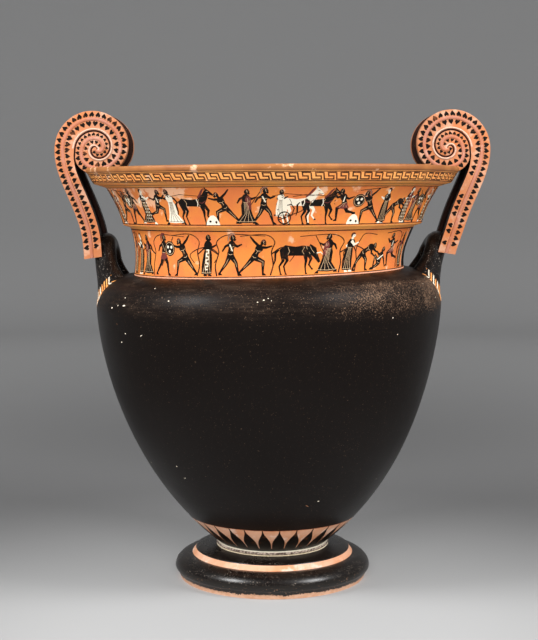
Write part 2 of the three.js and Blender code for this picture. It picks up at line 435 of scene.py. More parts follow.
class Coat(Enum):
    """Every surface that the potter and the painter left on the krater."""

    BODY = Gloss("black_gloss")
    PLAIN = Gloss("plain_black_gloss", rubbed=0.0, dull=0.36)
    FOOT = Gloss("foot_black_gloss", speck=(0.30, 0.25, 0.20), rubbed=0.0, specks=0.052,
                 dull=0.25, shine=0.42)
    ROOT = Gloss("root_black_gloss", speck=(0.32, 0.29, 0.25), rubbed=0.0, specks=0.056,
                 dull=0.25, shine=0.44)
    INSIDE = Gloss("inside_black_gloss", rubbed=0.0, dull=0.50, specks=0.008)
    EDGE = Gloss("flange_edge_slip", slip=(0.028, 0.012, 0.009), rubbed=0.0, specks=0.004,
                 dull=0.40)
    NECK = Clay("reserved_neck_clay", left_patches=1.0, patches=0.22)
    # Brighter clay on the faces that look down, under the rim and on the neck's little step:
    # painted light where they lie in shade.
    LIT_UNDERSIDE = Clay("underside_clay_painted_light", base=(0.97, 0.44, 0.110), warm=(0.95, 0.36, 0.100),
                 patches=0.2)
    RIM = Clay("reserved_rim_clay", base=(0.97, 0.42, 0.115), warm=(0.94, 0.34, 0.085),
               left_patches=0.5, patches=0.05)
    # Dark clay on the lip's moulding: painted shade where the lip rounds over.
    SHADED_MOULDING = Clay("rim_moulding_painted_shade", base=(0.36, 0.138, 0.038), warm=(0.28, 0.098, 0.028),
                    patches=0.3)
    STEP = Clay("reserved_step_clay", base=(0.68, 0.38, 0.245), warm=(0.62, 0.270, 0.135),
                pale=(0.74, 0.53, 0.42), patches=0.9)
    FLANGE = Clay("reserved_flange_clay", base=(0.475, 0.195, 0.095), warm=(0.49, 0.162, 0.056),
                  pale=(0.56, 0.31, 0.20), patches=1.0)
    RIDGE = Clay("flange_ridge_clay", base=(0.43, 0.175, 0.115), warm=(0.43, 0.145, 0.070),
                 pale=(0.50, 0.26, 0.19), patches=0.7)
    BARE = Clay("bare_clay", base=(0.50, 0.24, 0.12), warm=(0.44, 0.19, 0.09),
                pale=(0.56, 0.36, 0.24), patches=0.6, dull=0.62)
    CUT = Clay("incised_clay", base=(0.62, 0.42, 0.24), warm=(0.52, 0.33, 0.17), patches=0.4)
    FIGURE = Thinned("figure_slip")
    LEAF = Thinned("leaf_slip", thinness=0.12)
    LINE = Thinned("line_slip", thick=(0.022, 0.010, 0.006), thin=(0.12, 0.040, 0.016),
                   thinness=0.35)
    KEY = Thinned("key_slip", thick=(0.050, 0.019, 0.008), thin=(0.16, 0.052, 0.020),
                  thinness=0.4)
    REDLINE = Thinned("thin_red_line", thick=(0.23, 0.060, 0.028), thin=(0.42, 0.15, 0.07),
                      thinness=0.5)
    WHITE = Pigment("added_white")
    # Cream: the real upright lines of the neck's side panels, and a painted highlight on the
    # volutes' raised beads.
    CREAM_AND_HIGHLIGHT = Pigment("cream_line_and_painted_highlight", colour=(0.60, 0.40, 0.29), rubbed=(0.45, 0.23, 0.14), loss=0.6)
    NECK_LINE = Pigment("neck_foot_line", colour=(0.70, 0.34, 0.21), rubbed=(0.55, 0.22, 0.11),
                        loss=0.5)
    RED = Pigment("added_red", colour=(0.16, 0.035, 0.030), rubbed=(0.05, 0.02, 0.015), loss=0.5)
    FOOT_EDGE = FootEdge("worn_foot_edge")
    MOTTLE = Mottle("mottled_fillet")


# Lines and surfaces

def curve(start: Spot, first: Spot, second: Spot, end: Spot, steps: int) -> list[Vector]:
    """Points on a cubic curve in radius and height, with both ends."""
    knots = (Vector(spot) for spot in (start, first, second, end))
    return [spot.to_2d() for spot in interpolate_bezier(*knots, steps + 1)]


def bend(start: Spot, corner: Spot, end: Spot, steps: int) -> list[Vector]:
    """Points on a quadratic curve, with both ends."""
    first, second = (Vector(tip).lerp(Vector(corner), 2 / 3) for tip in (start, end))
    return curve(start, tuple(first), tuple(second), end, steps)


def arc(centre: Spot, width: float, rise: float, start: float, end: float,
        steps: int) -> list[Vector]:
    """Points on part of an ellipse, with both ends, between two angles in radians."""
    angles = [start + (end - start) * i / steps for i in range(steps + 1)]
    return [Vector((centre[0] + width * math.cos(angle), centre[1] + rise * math.sin(angle)))
            for angle in angles]


def heading(angle: float) -> Vector:
    """The direction at an angle, in radians."""
    return Vector((math.cos(angle), math.sin(angle)))


def polar(centre: Spot, radius: float, angle: float) -> Spot:
    """The point at a distance and an angle, in radians, from a centre."""
    return (centre[0] + radius * math.cos(angle), centre[1] + radius * math.sin(angle))


def flowing(knots: Sequence[Vector], steps: int) -> list[Vector]:
    """A smooth line through all the knots.

    Args:
        knots: The points it passes, in two or three dimensions.
        steps: How many parts each stretch between two knots is cut into.

    Returns:
        The points of the line, with both ends.
    """
    ends = [2 * knots[0] - knots[1], *knots, 2 * knots[-1] - knots[-2]]
    line = []
    for before, here, there, after in zip(ends, ends[1:], ends[2:], ends[3:]):
        for i in range(steps):
            t = i / steps
            pull = (2 * here + (there - before) * t
                    + (2 * before - 5 * here + 4 * there - after) * t ** 2
                    + (3 * here - before - 3 * there + after) * t ** 3)
            line.append(pull / 2)
    return [*line, knots[-1].copy()]


def stroke(line: Sequence[Spot], widths: Sequence[float]) -> list[Spot]:
    """The outline of a brush stroke.

    Args:
        line: The middle of the stroke.
        widths: Half its width at each point of the line.

    Returns:
        The outline, down one side and back up the other, with mitred corners.
    """
    spots = [Vector(spot) for spot in line]
    runs = [(b - a).normalized() for a, b in zip(spots, spots[1:])]
    left, right = [], []
    for i, spot in enumerate(spots):
        before, after = runs[max(i - 1, 0)], runs[min(i, len(runs) - 1)]
        along = (before + after).normalized() if (before + after).length > 1e-6 else after
        mitre = min(1.5, 1 / max(0.5, along.dot(after)))
        side = Vector((-along.y, along.x)) * widths[i] * mitre
        left.append(tuple(spot + side))
        right.append(tuple(spot - side))
    return right + left[::-1]


def oval(centre: Spot, radii: Spot, tilt: float = 0.0, sides: int = 12) -> list[Spot]:
    """The outline of an ellipse.

    Args:
        centre: Its middle.
        radii: Its two radii.
        tilt: Its angle in radians.
        sides: How many corners it has.

    Returns:
        The corners.
    """
    cos, sin = math.cos(tilt), math.sin(tilt)
    outline = []
    for i in range(sides):
        angle = FULL_TURN * i / sides
        x, y = radii[0] * math.cos(angle), radii[1] * math.sin(angle)
        outline.append((centre[0] + x * cos - y * sin, centre[1] + x * sin + y * cos))
    return outline


def smoothstep(value: float, low: float, high: float) -> float:
    """Rises smoothly from 0 at low to 1 at high."""
    share = min(1.0, max(0.0, (value - low) / (high - low)))
    return share * share * (3 - 2 * share)


@dataclass(frozen=True)
class Lean:
    """How far the bowl dried out of true: it leans to -X and its shoulder is higher at +X."""

    shift: float = -4.4
    rising: Spot = (60, 300)
    falling: Spot = (396, 457)
    shoulder: Spot = (250, 396)
    shoulder_slope: float = 0.028
    mouth_slope: float = 0.007
    held_within: float = 173.5

    def settle(self, point: Vector) -> Vector:
        """Moves a point as the pot moved when it dried.

        Args:
            point: The place in the true turned form, in millimetres.

        Returns:
            Its place on the leaning pot.
        """
        x, y, z = point
        shift = self.shift * smoothstep(z, *self.rising) * (1 - smoothstep(z, *self.falling))
        low = self.shoulder_slope * smoothstep(z, *self.shoulder)
        slope = low + (self.mouth_slope - low) * smoothstep(z, *self.falling)
        held = min(1.0, self.held_within / max(abs(x), 1.0))
        return Vector((x + shift, y, z + slope * x * held * held))


LEAN = Lean()


class Line:
    """A line in radius and height, measured along its length, with the clay on its left."""

    def __init__(self, points: Sequence[Vector]) -> None:
        """Measures the line.

        Args:
            points: The line's points, from its start.
        """
        self.points = list(points)
        self.lengths = [0.0]
        for a, b in zip(self.points, self.points[1:]):
            self.lengths.append(self.lengths[-1] + (b - a).length)
        runs = [(b - a).normalized() for a, b in zip(self.points, self.points[1:])]
        sides = [Vector((run.y, -run.x)) for run in runs]
        inner = [(a + b).normalized() for a, b in zip(sides, sides[1:])]
        self.normals = [sides[0], *inner, sides[-1]]

    @property
    def length(self) -> float:
        """The whole length."""
        return self.lengths[-1]

    def at(self, reach: float) -> tuple[Vector, Vector]:
        """Finds a place on the line.

        Args:
            reach: A length from the start. It may run on past the ends.

        Returns:
            The point and the outward normal.
        """
        i = min(max(bisect_right(self.lengths, reach) - 1, 0), len(self.points) - 2)
        share = (reach - self.lengths[i]) / (self.lengths[i + 1] - self.lengths[i])
        point = self.points[i] + (self.points[i + 1] - self.points[i]) * share
        normal = self.normals[i].lerp(self.normals[i + 1], min(1.0, max(0.0, share)))
        return point, normal.normalized()

    def reach(self, height: float) -> float:
        """Finds where a rising line comes to a height.

        Args:
            height: The height.

        Returns:
            The length from the start.
        """
        for i, (a, b) in enumerate(zip(self.points, self.points[1:])):
            if a.y <= height <= b.y:
                share = (height - a.y) / max(b.y - a.y, 1e-9)
                return self.lengths[i] + share * (self.lengths[i + 1] - self.lengths[i])
        raise ValueError(f"the line doesn't come to {height}")


@dataclass(frozen=True)
class Wall:
    """A turned surface to paint on: arc length round it, length up it and height off it."""

    line: Line
    radius: float

    def place(self, spot: Vector) -> Vector:
        """Takes a painted point to its place.

        Args:
            spot: Arc length from the front to the right, length up and height off.

        Returns:
            The point in space.
        """
        point, normal = self.line.at(spot.y)
        angle = spot.x / self.radius - math.pi / 2
        reach = point.x + normal.x * spot.z
        height = point.y + normal.y * spot.z
        return Vector((reach * math.cos(angle), reach * math.sin(angle), height))


# Making pieces

def as_mesh(bm: BMesh, name: str) -> bpy.types.Mesh:
    """Turns a bmesh into a smooth mesh, and frees it."""
    mesh = bpy.data.meshes.new(name)
    bm.to_mesh(mesh)
    bm.free()
    mesh.polygons.foreach_set("use_smooth", [True] * len(mesh.polygons))
    return mesh


def put(name: str, data: bpy.types.ID) -> bpy.types.Object:
    """Puts an object with this data into the scene."""
    thing = bpy.data.objects.new(name, data)
    bpy.context.scene.collection.objects.link(thing)
    return thing


def finish_piece(bm: BMesh, name: str, coats: Sequence[Coat],
                 sharp: float = 32.0) -> bpy.types.Object:
    """Turns a mesh in millimetres into a finished piece of the krater.

    Args:
        bm: The mesh in the true turned form. It is freed.
        name: The piece's name.
        coats: The finishes, in the order of the faces' material numbers.
        sharp: The angle in degrees from which an edge stays crisp.

    Returns:
        The piece, at the origin, riding on the frame.
    """
    for vert in bm.verts:
        vert.co = LEAN.settle(vert.co) * MM
    bmesh.ops.recalc_face_normals(bm, faces=bm.faces[:])
    mesh = as_mesh(bm, name)
    mesh.set_sharp_from_angle(angle=math.radians(sharp))
    for coat in coats:
        mesh.materials.append(coat.value.material())
    piece = put(name, mesh)
    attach(piece, "root")
    mesh.calc_loop_triangles()
    log.info("%s: %d triangles", name, len(mesh.loop_triangles))
    return piece


class SlipWork:
    """Shapes brushed on one surface: closed plates of slip, a fraction of a millimetre thick."""

    SINK = 0.25
    HAIR = 0.004
    LAYERS = 13

    def __init__(self, place: Callable[[Vector], Vector], cut: float = 0.0) -> None:
        """Starts with a clean surface.

        Args:
            place: Takes a flat point and its height to the point in space.
            cut: The plates are cut this often so that they follow the curve, or not at all if 0.
        """
        self.place = place
        self.cut = cut
        self.bm = bmesh.new()
        self.lift = self.bm.verts.layers.float.new("lift")
        self.coats: list[Coat] = []
        self.count = 0

    def brush(self, outline: Iterable[Spot], coat: Coat, lift: float = 0.15) -> None:
        """Lays one shape down, a hair off the last, so that no two share a face.

        Args:
            outline: The shape's corners.
            coat: Its finish.
            lift: How far it stands off the surface, in millimetres.
        """
        if coat not in self.coats:
            self.coats.append(coat)
        self.count += 1
        verts = [self.bm.verts.new((u, v, -self.SINK)) for u, v in outline]
        for vert in verts:
            vert[self.lift] = lift + self.HAIR * (self.count % self.LAYERS)
        self.bm.faces.new(verts).material_index = self.coats.index(coat)

    def _cut_along(self, axis: int) -> None:
        """Cuts every plate at an even pitch.

        Args:
            axis: 0 to cut across the first axis, 1 across the second.
        """
        reach = [vert.co[axis] for vert in self.bm.verts]
        normal = Vector((0, 0, 0))
        normal[axis] = 1
        for i in range(math.floor(min(reach) / self.cut) + 1, math.ceil(max(reach) / self.cut)):
            geom = [*self.bm.verts, *self.bm.edges, *self.bm.faces]
            bmesh.ops.bisect_plane(self.bm, geom=geom, plane_co=normal * i * self.cut,
                                   plane_no=normal)

    def piece(self, name: str) -> None:
        """Thickens the plates, bends them on to the surface and finishes them as one piece.

        Args:
            name: The piece's name.
        """
        grown = bmesh.ops.extrude_face_region(self.bm, geom=self.bm.faces[:])["geom"]
        for vert in grown:
            if isinstance(vert, bmesh.types.BMVert):
                vert.co.z = vert[self.lift]
        wide = [face for face in self.bm.faces if len(face.verts) > 4]
        bmesh.ops.triangulate(self.bm, faces=wide)
        if self.cut:
            self._cut_along(0)
            self._cut_along(1)
        for vert in self.bm.verts:
            vert.co = self.place(vert.co)
        finish_piece(self.bm, name, self.coats)


def sweep(bm: BMesh, sections: Sequence[Sequence[Vector]], paint: Sequence[int],
          ends: int = 0) -> None:
    """Extrudes a closed section through a row of others.

    Args:
        bm: The mesh that takes the swept form.
        sections: The corners of each section, in the same order in all of them.
        paint: The material number of the strip that starts at each corner.
        ends: The material number of both ends.
    """
    rank = bm.verts.layers.int.get("rank") or bm.verts.layers.int.new("rank")
    verts = [bm.verts.new(corner) for corner in sections[0]]
    last = len(verts) - 1
    for i, vert in enumerate(verts):
        vert[rank] = i
    cap = bm.faces.new(verts)
    cap.material_index = ends
    for section in sections[1:]:
        grown = bmesh.ops.extrude_face_region(bm, geom=[cap])["geom"]
        fresh = {part for part in grown if isinstance(part, bmesh.types.BMVert)}
        cap = next(part for part in grown
                   if isinstance(part, bmesh.types.BMFace) and fresh.issuperset(part.verts))
        cap.material_index = ends
        for vert in cap.verts:
            vert.co = section[vert[rank]]
        for edge in cap.edges:
            side = next(face for face in edge.link_faces if face != cap)
            low, high = sorted(vert[rank] for vert in edge.verts)
            side.material_index = paint[last if (low, high) == (0, last) else low]


def slab(bm: BMesh, outline: Sequence[Spot], depths: Spot, paint: Sequence[int],
         ends: int = 0) -> None:
    """A flat slab between two depths.

    Args:
        bm: The mesh that takes the slab.
        outline: The corners of its side view, in X and Z.
        depths: The Y of its two faces.
        paint: The material number of the edge that starts at each corner.
        ends: The material number of both faces.
    """
    sweep(bm, [[Vector((x, y, z)) for x, z in outline] for y in depths], paint, ends)


def spin(bm: BMesh, line: Sequence[Vector], steps: int, merged: float) -> None:
    """Spins a line round the Z axis into a surface.

    Args:
        bm: The mesh that takes the surface.
        line: The line, in radius and height.
        steps: How many parts the round is cut into.
        merged: The distance within which points become one, as they do on the axis.
    """
    verts = [bm.verts.new((point.x, 0, point.y)) for point in line]
    edges = [bm.edges.new(pair) for pair in zip(verts, verts[1:])]
    bmesh.ops.spin(bm, geom=[*verts, *edges], cent=(0, 0, 0), axis=(0, 0, 1),
                   angle=FULL_TURN, steps=steps, use_merge=True)
    bmesh.ops.remove_doubles(bm, verts=bm.verts[:], dist=merged)


# The thrown pot

@dataclass(frozen=True)
class Span:
    """A stretch of the thrown profile: its line, its ground and the bands painted round it."""

    line: Line
    ground: Coat
    bands: tuple[tuple[float, float, Coat], ...] = ()

    def strips(self) -> list[tuple[Vector, Coat]]:
        """Cuts the line at the edges of its bands.

        Returns:
            Each strip's first point and its coat.
        """
        marks = {mark for low, high, _ in self.bands for mark in (low, high)}
        marks = {mark for mark in marks if 0 < mark < self.line.length}
        lengths = sorted(marks | set(self.line.lengths))
        ends = [*lengths[1:], math.inf]
        clear = [a for a, b in zip(lengths, ends) if b - a > 1e-4 or a in marks]
        strips = []
        for a, b in zip(clear, clear[1:] + [self.line.length]):
            middle = (a + b) / 2
            coat = next((c for low, high, c in self.bands if low < middle < high), self.ground)
            strips.append((self.line.at(a)[0], coat))
        return strips[:-1] if clear[-1] >= self.line.length - 1e-4 else strips


@dataclass(frozen=True)
class Pot:
    """The thrown part: foot, bowl, neck and rim, outside and in."""

    segments: int = 256
    wall: float = 8.0
    standing: Spot = (92, 119.5)
    torus_centre: Spot = (104, 13.5)
    torus_size: tuple[float, float, float] = (22, 16.5, 8.5)
    disc: tuple[float, float, float] = (99, 37, 40.5)
    ring: Spot = (70, 46)
    belly: Spot = (221.4, 352.2)
    neck_foot: Spot = (173.5, 396)
    neck_step: Spot = (182, 452)
    flare_foot: Spot = (192, 457)
    flare_top: Spot = (213, 503)
    rim_low: Spot = (229, 508)
    rim_high: Spot = (236.5, 520.5)
    lip: Spot = (239, 528)
    mouth: float = 208
    ray_height: float = 81.0

    def bowl_line(self) -> Line:
        """The bowl from the fillet up to its widest part."""
        return Line(curve(self.ring, (202.3, 148.2), (221.1, 327.7), self.belly, 70))

    def shoulder_line(self) -> Line:
        """The shoulder from the widest part in to the foot of the neck."""
        return Line(curve(self.belly, (221.4, 377.2), (203, 396), self.neck_foot, 30))

    def low_neck_line(self) -> Line:
        """The lower, concave band of the neck."""
        return Line(curve(self.neck_foot, (171.5, 414), (173.5, 430), self.neck_step, 18))

    def high_neck_line(self) -> Line:
        """The upper, flaring band of the neck."""
        return Line(curve(self.flare_foot, (195, 472), (204, 489), self.flare_top, 16))

    def rim_line(self) -> Line:
        """The slanting face of the rim."""
        return Line([Vector(self.rim_low), Vector(self.rim_high)])

    def foot_spans(self) -> list[Span]:
        """The underside, the standing ring, the torus, the stepped disc and the fillet.

        Returns:
            The spans, from the axis outwards and up.
        """
        inner, outer = self.standing
        under = curve((0, 26), (64.4, 26), (88, 15.6), (inner, 0), 14)
        width, rise, drop = self.torus_size
        low = arc(self.torus_centre, width, drop, -0.53, 0, 8)
        high = arc(self.torus_centre, width, rise, 0, math.pi / 2, 22)
        radius, edge, crown = self.disc
        top = Line(bend((radius, edge), (radius - 4, crown - 1), (self.ring[0], crown), 12))
        fillet = Line(bend((self.ring[0], crown), (76, 43.25), self.ring, 8))
        step = Line([Vector((self.torus_centre[0], 30)), Vector((101.5, 33)),
                     Vector((radius, edge))])
        return [
            Span(Line(under), Coat.BARE),
            Span(Line([Vector((inner, 0)), Vector((outer, 0))]), Coat.BARE),
            Span(Line([Vector((outer, 0)), *low]), Coat.FOOT_EDGE),
            Span(Line(high), Coat.FOOT, ((0, 4.5, Coat.FOOT_EDGE),)),
            Span(step, Coat.STEP, ((step.length - 1.1, step.length, Coat.FOOT),)),
            Span(top, Coat.FOOT, ((top.length - 2.6, top.length, Coat.WHITE),)),
            Span(fillet, Coat.MOTTLE, ((0, 1.6, Coat.WHITE),
                                       (fillet.length - 2.2, fillet.length, Coat.WHITE))),
        ]

    def body_spans(self) -> list[Span]:
        """The bowl with its ray zone, and the shoulder.

        Returns:
            The spans, upwards.
        """
        bowl = self.bowl_line()
        rays = bowl.reach(self.ray_height)
        shoulder = self.shoulder_line()
        end = shoulder.length
        return [
            Span(bowl, Coat.BODY, ((0, 4.0, Coat.PLAIN), (4.0, rays, Coat.STEP),
                                   (rays, rays + 1.0, Coat.REDLINE))),
            Span(shoulder, Coat.BODY, ((end - 0.3, end, Coat.NECK_LINE),)),
        ]

    def neck_spans(self) -> list[Span]:
        """Both bands of the neck with their lines, the little step and the rim's face.

        Returns:
            The spans, upwards.
        """
        low, high, rim = self.low_neck_line(), self.high_neck_line(), self.rim_line()
        under = Line([Vector(self.flare_top), Vector(self.rim_low)])
        step = Line([Vector(self.neck_step), Vector((183.2, 453.2)), Vector((190.6, 455.6)),
                     Vector(self.flare_foot)])
        lip, top = self.lip
        moulding = Line([Vector(self.rim_high), Vector((237.6, 521.2)), Vector((238.7, 522.4)),
                         Vector((lip, 524)), Vector((lip, 525.6)), Vector((238.4, 527.0)),
                         Vector((237.2, 527.8)), Vector((235.6, top))])
        return [
            Span(low, Coat.NECK, ((0, 1.4, Coat.NECK_LINE), (1.4, 2.5, Coat.LINE),
                                  (low.length - 1.7, low.length - 0.3, Coat.LINE))),
            # The little step takes the undersides' painted light.
            Span(step, Coat.LIT_UNDERSIDE),
            Span(high, Coat.NECK, ((0.8, 2.1, Coat.LINE),
                                   (high.length - 0.9, high.length, Coat.LINE))),
            # The rim's underside, brightened with painted light.
            Span(under, Coat.LIT_UNDERSIDE, ((6.6, 8.1, Coat.LINE),)),
            Span(rim, Coat.RIM, ((0.3, 1.6, Coat.LINE), (12.7, 13.9, Coat.LINE))),
            # The lip's moulding is darkened with painted shade.
            Span(moulding, Coat.SHADED_MOULDING),
        ]

    def inner_spans(self) -> list[Span]:
        """The flat top of the rim and everything inside the mouth.

        Returns:
            The spans, inwards and down.
        """
        _, top = self.lip
        neck = bend((163.5, 414), (165.5, 444), (184, 461), 10)
        throat = [Vector((205, 503)), Vector((self.mouth, 520.5)), Vector((self.mouth, top))]
        belly = (self.belly[0] - self.wall, self.belly[1])
        shoulder = curve(belly, (213.4, 369.2), (195, 388), (165.5, 388), 18)
        bowl = curve((54, 55), (191.3, 156.2), (213.1, 327.7), belly, 40)
        inside = [Vector((0, 55)), *bowl, *shoulder[1:], *neck, *throat]
        return [
            # The outer 3 mm of the rim's top carry the moulding's painted shade.
            Span(Line([Vector((235.6, top)), Vector((232, top)), Vector((self.mouth, top))]),
                 Coat.INSIDE, ((0, 3.0, Coat.SHADED_MOULDING), (7.0, 8.4, Coat.RIM))),
            Span(Line(inside[::-1]), Coat.INSIDE),
        ]

    def throw(self) -> None:
        """Spins the whole profile, paints its bands and puts it in the CAD node's place."""
        spans = [*self.foot_spans(), *self.body_spans(), *self.neck_spans(), *self.inner_spans()]
        strips = [strip for span in spans for strip in span.strips()]
        strips.append((spans[-1].line.points[-1], Coat.INSIDE))
        coats = list(dict.fromkeys(coat for _, coat in strips))
        points = [point for point, _ in strips]
        middles = KDTree(len(points) - 1)
        for i, (a, b) in enumerate(zip(points, points[1:])):
            middle = (a + b) / 2
            middles.insert((middle.x, 0, middle.y), i)
        middles.balance()
        bm = bmesh.new()
        spin(bm, points, self.segments, 1e-4)
        for face in bm.faces:
            centre = face.calc_center_median()
            _, i, _ = middles.find((math.hypot(centre.x, centre.y), 0, centre.z))
            face.material_index = coats.index(strips[i][1])
        piece = finish_piece(bm, "krater_pot", coats, 38)
        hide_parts("krater")


# Ornament that runs round the pot

@dataclass(frozen=True)
class Meander:
    """The running key on the rim."""

    keys: int = 98
    low: float = 3.0
    high: float = 11.6
    brush: float = 0.84
    slant: float = -0.12
    key: tuple[Spot, ...] = (
        (0, 1), (0, 0), (0.76, 0), (0.76, 0.48), (0.36, 0.48), (0.36, 1), (1, 1),
    )
    seed: int = 3

    def paint(self, pot: Pot) -> None:
        """Brushes the keys round the rim, each a little different.

        Args:
            pot: The pot it lies on.
        """
        radius = sum(pot.rim_low[:1] + pot.rim_high[:1]) / 2
        slip = SlipWork(Wall(pot.rim_line(), radius).place, cut=6)
        pitch = FULL_TURN * radius / self.keys
        hand = random.Random(self.seed)
        for i in range(self.keys):
            start = i * pitch + hand.uniform(-0.25, 0.25)
            low = self.low + hand.uniform(-0.2, 0.2)
            high = self.high + hand.uniform(-0.2, 0.2)
            line = [(start + pitch * (x + self.slant * y), low + (high - low) * y)
                    for x, y in self.key]
            slip.brush(stroke(line, [self.brush * hand.uniform(0.88, 1.1)] * len(line)), Coat.KEY)
        slip.piece("rim_meander")


@dataclass(frozen=True)
class Rays:
    """The black rays that rise round the bottom of the bowl."""

    rays: int = 31
    first: float = 0.44
    start: float = 2.0
    overlap: float = 0.4
    radius: float = 88.0
    seed: int = 8
    shape: tuple[Spot, ...] = (
        (0.0, 0.50), (0.11, 0.50), (0.15, 0.465), (0.30, 0.455), (0.42, 0.44), (0.52, 0.385),
        (0.62, 0.295), (0.72, 0.19), (0.82, 0.095), (0.90, 0.045), (1.0, 0.026),
    )

    def paint(self, pot: Pot) -> None:
        """Brushes each ray from its black foot up to its hairline tip.

        Args:
            pot: The pot it lies on.
        """
        line = pot.bowl_line()
        slip = SlipWork(Wall(line, self.radius).place, cut=6)
        pitch = FULL_TURN * self.radius / self.rays
        height = line.reach(pot.ray_height) + self.overlap - self.start
        hand = random.Random(self.seed)
        for i in range(self.rays):
            middle = (i + self.first) * pitch
            lean, fat = hand.uniform(-0.9, 0.9), hand.uniform(0.93, 1.0)
            right, left = [], []
            for rise, share in self.shape:
                half = share * (fat if rise > 0.3 else 1.0)
                drift = lean * rise
                right.append((middle + drift + half * pitch, self.start + height * rise))
                left.append((middle + drift - half * pitch, self.start + height * rise))
            slip.brush(right + left[::-1], Coat.FIGURE)
        slip.piece("ray_zone")


# The painted friezes

class Dress(Enum):
    """What a painted figure wears."""

    NUDE = "nude"
    TUNIC = "tunic"
    ROBE = "robe"
    CLOAK = "cloak"
    WHITE_ROBE = "white robe"


class Gear(Enum):
    """What a painted figure carries."""

    SHIELD = "shield"
    SPEAR = "spear"
    STAFF = "staff"
    HELMET = "helmet"
    WREATH = "wreath"
    SASH = "sash"
    ZIGZAG = "zigzag"
    DOTS = "dots"


@dataclass(frozen=True)
class Pose:
    """The joints of a figure that faces right, in shares of its height."""

    hip: Spot
    neck: Spot
    head: Spot
    legs: tuple[tuple[Spot, Spot], tuple[Spot, Spot]]
    arms: tuple[tuple[Spot, Spot], tuple[Spot, Spot]]


class Stance(Enum):
    """The poses that the friezes are made up from."""

    STAND = Pose((0, 0.50), (0.01, 0.80), (0.025, 0.905),
                 (((-0.04, 0.28), (-0.06, 0.03)), ((0.03, 0.28), (0.06, 0.03))),
                 (((-0.09, 0.64), (0.02, 0.54)), ((0.11, 0.66), (0.22, 0.72))))
    STRIDE = Pose((0, 0.49), (0.03, 0.79), (0.06, 0.895),
                  (((-0.09, 0.28), (-0.25, 0.05)), ((0.15, 0.30), (0.23, 0.03))),
                  (((-0.13, 0.68), (-0.20, 0.56)), ((0.16, 0.68), (0.27, 0.73))))
    LUNGE = Pose((-0.03, 0.43), (0.10, 0.70), (0.17, 0.80),
                 (((-0.19, 0.25), (-0.38, 0.05)), ((0.20, 0.32), (0.21, 0.03))),
                 (((-0.06, 0.82), (-0.15, 0.94)), ((0.25, 0.66), (0.38, 0.70))))
    RUN = Pose((0, 0.50), (0.09, 0.78), (0.14, 0.885),
               (((-0.10, 0.32), (-0.33, 0.27)), ((0.19, 0.40), (0.17, 0.10))),
               (((-0.08, 0.66), (-0.22, 0.72)), ((0.22, 0.70), (0.33, 0.80))))
    BEND = Pose((-0.12, 0.45), (0.15, 0.62), (0.24, 0.63),
                (((-0.27, 0.26), (-0.40, 0.04)), ((0.02, 0.26), (0.00, 0.03))),
                (((0.18, 0.42), (0.32, 0.34)), ((0.27, 0.50), (0.38, 0.44))))
    CROUCH = Pose((0.02, 0.17), (-0.10, 0.42), (-0.12, 0.52),
                  (((0.12, 0.10), (0.30, 0.04)), ((0.17, 0.35), (0.24, 0.04))),
                  (((-0.20, 0.26), (-0.26, 0.05)), ((0.03, 0.38), (0.14, 0.47))))
    SIT = Pose((-0.06, 0.36), (-0.02, 0.66), (0.0, 0.765),
               (((0.14, 0.34), (0.10, 0.04)), ((0.17, 0.37), (0.19, 0.03))),
               (((-0.08, 0.50), (0.07, 0.43)), ((0.10, 0.54), (0.21, 0.62))))


class Brush:
    """Draws one subject at its place on a wall, in shares of its height."""

    def __init__(self, slip: SlipWork, x: float, ground: float, height: float,
                 facing: int = 1) -> None:
        """Sets the subject's place.

        Args:
            slip: Where the strokes go.
            x: Arc length from the front to the subject's middle.
            ground: How high up the wall it stands.
            height: Its height, in millimetres.
            facing: 1 if it faces right and -1 if it faces left.
        """
        self.slip, self.x, self.ground = slip, x, ground
        self.height, self.facing = height, facing

    def fill(self, outline: Iterable[Spot], coat: Coat = Coat.FIGURE, lift: float = 0.13) -> None:
        """Fills an outline."""
        spots = [(self.x + self.facing * self.height * x, self.ground + self.height * y)
                 for x, y in outline]
        self.slip.brush(spots, coat, lift)

    def stroke(self, line: Sequence[Spot], widths: Sequence[float] | float,
               coat: Coat = Coat.FIGURE, lift: float = 0.13) -> None:
        """Draws a stroke, with one half width or one for each point."""
        each = [widths] * len(line) if isinstance(widths, (int, float)) else widths
        self.fill(stroke(line, each), coat, lift)

    def oval(self, centre: Spot, radii: Spot, tilt: float = 0.0, coat: Coat = Coat.FIGURE,
             lift: float = 0.13, sides: int = 12) -> None:
        """Fills an oval."""
        self.fill(oval(centre, radii, tilt, sides), coat, lift)

    def cut(self, *line: Spot, width: float = 0.0052) -> None:
        """Scratches a line through the slip."""
        self.stroke(line, width, Coat.CUT, 0.22)

    def ring(self, centre: Spot, radius: float, width: float, coat: Coat, lift: float,
             sides: int = 18) -> None:
        """Draws a ring as two half strokes.

        Args:
            centre: Its middle.
            radius: Its radius.
            width: Half the stroke's width.
            coat: Its finish.
            lift: How far it stands off.
            sides: How many parts it has.
        """
        steps = sides // 2
        for start in (0.0, math.pi):
            half = [polar(centre, radius, start + math.pi * i / steps) for i in range(steps + 1)]
            self.stroke(half, width, coat, lift)


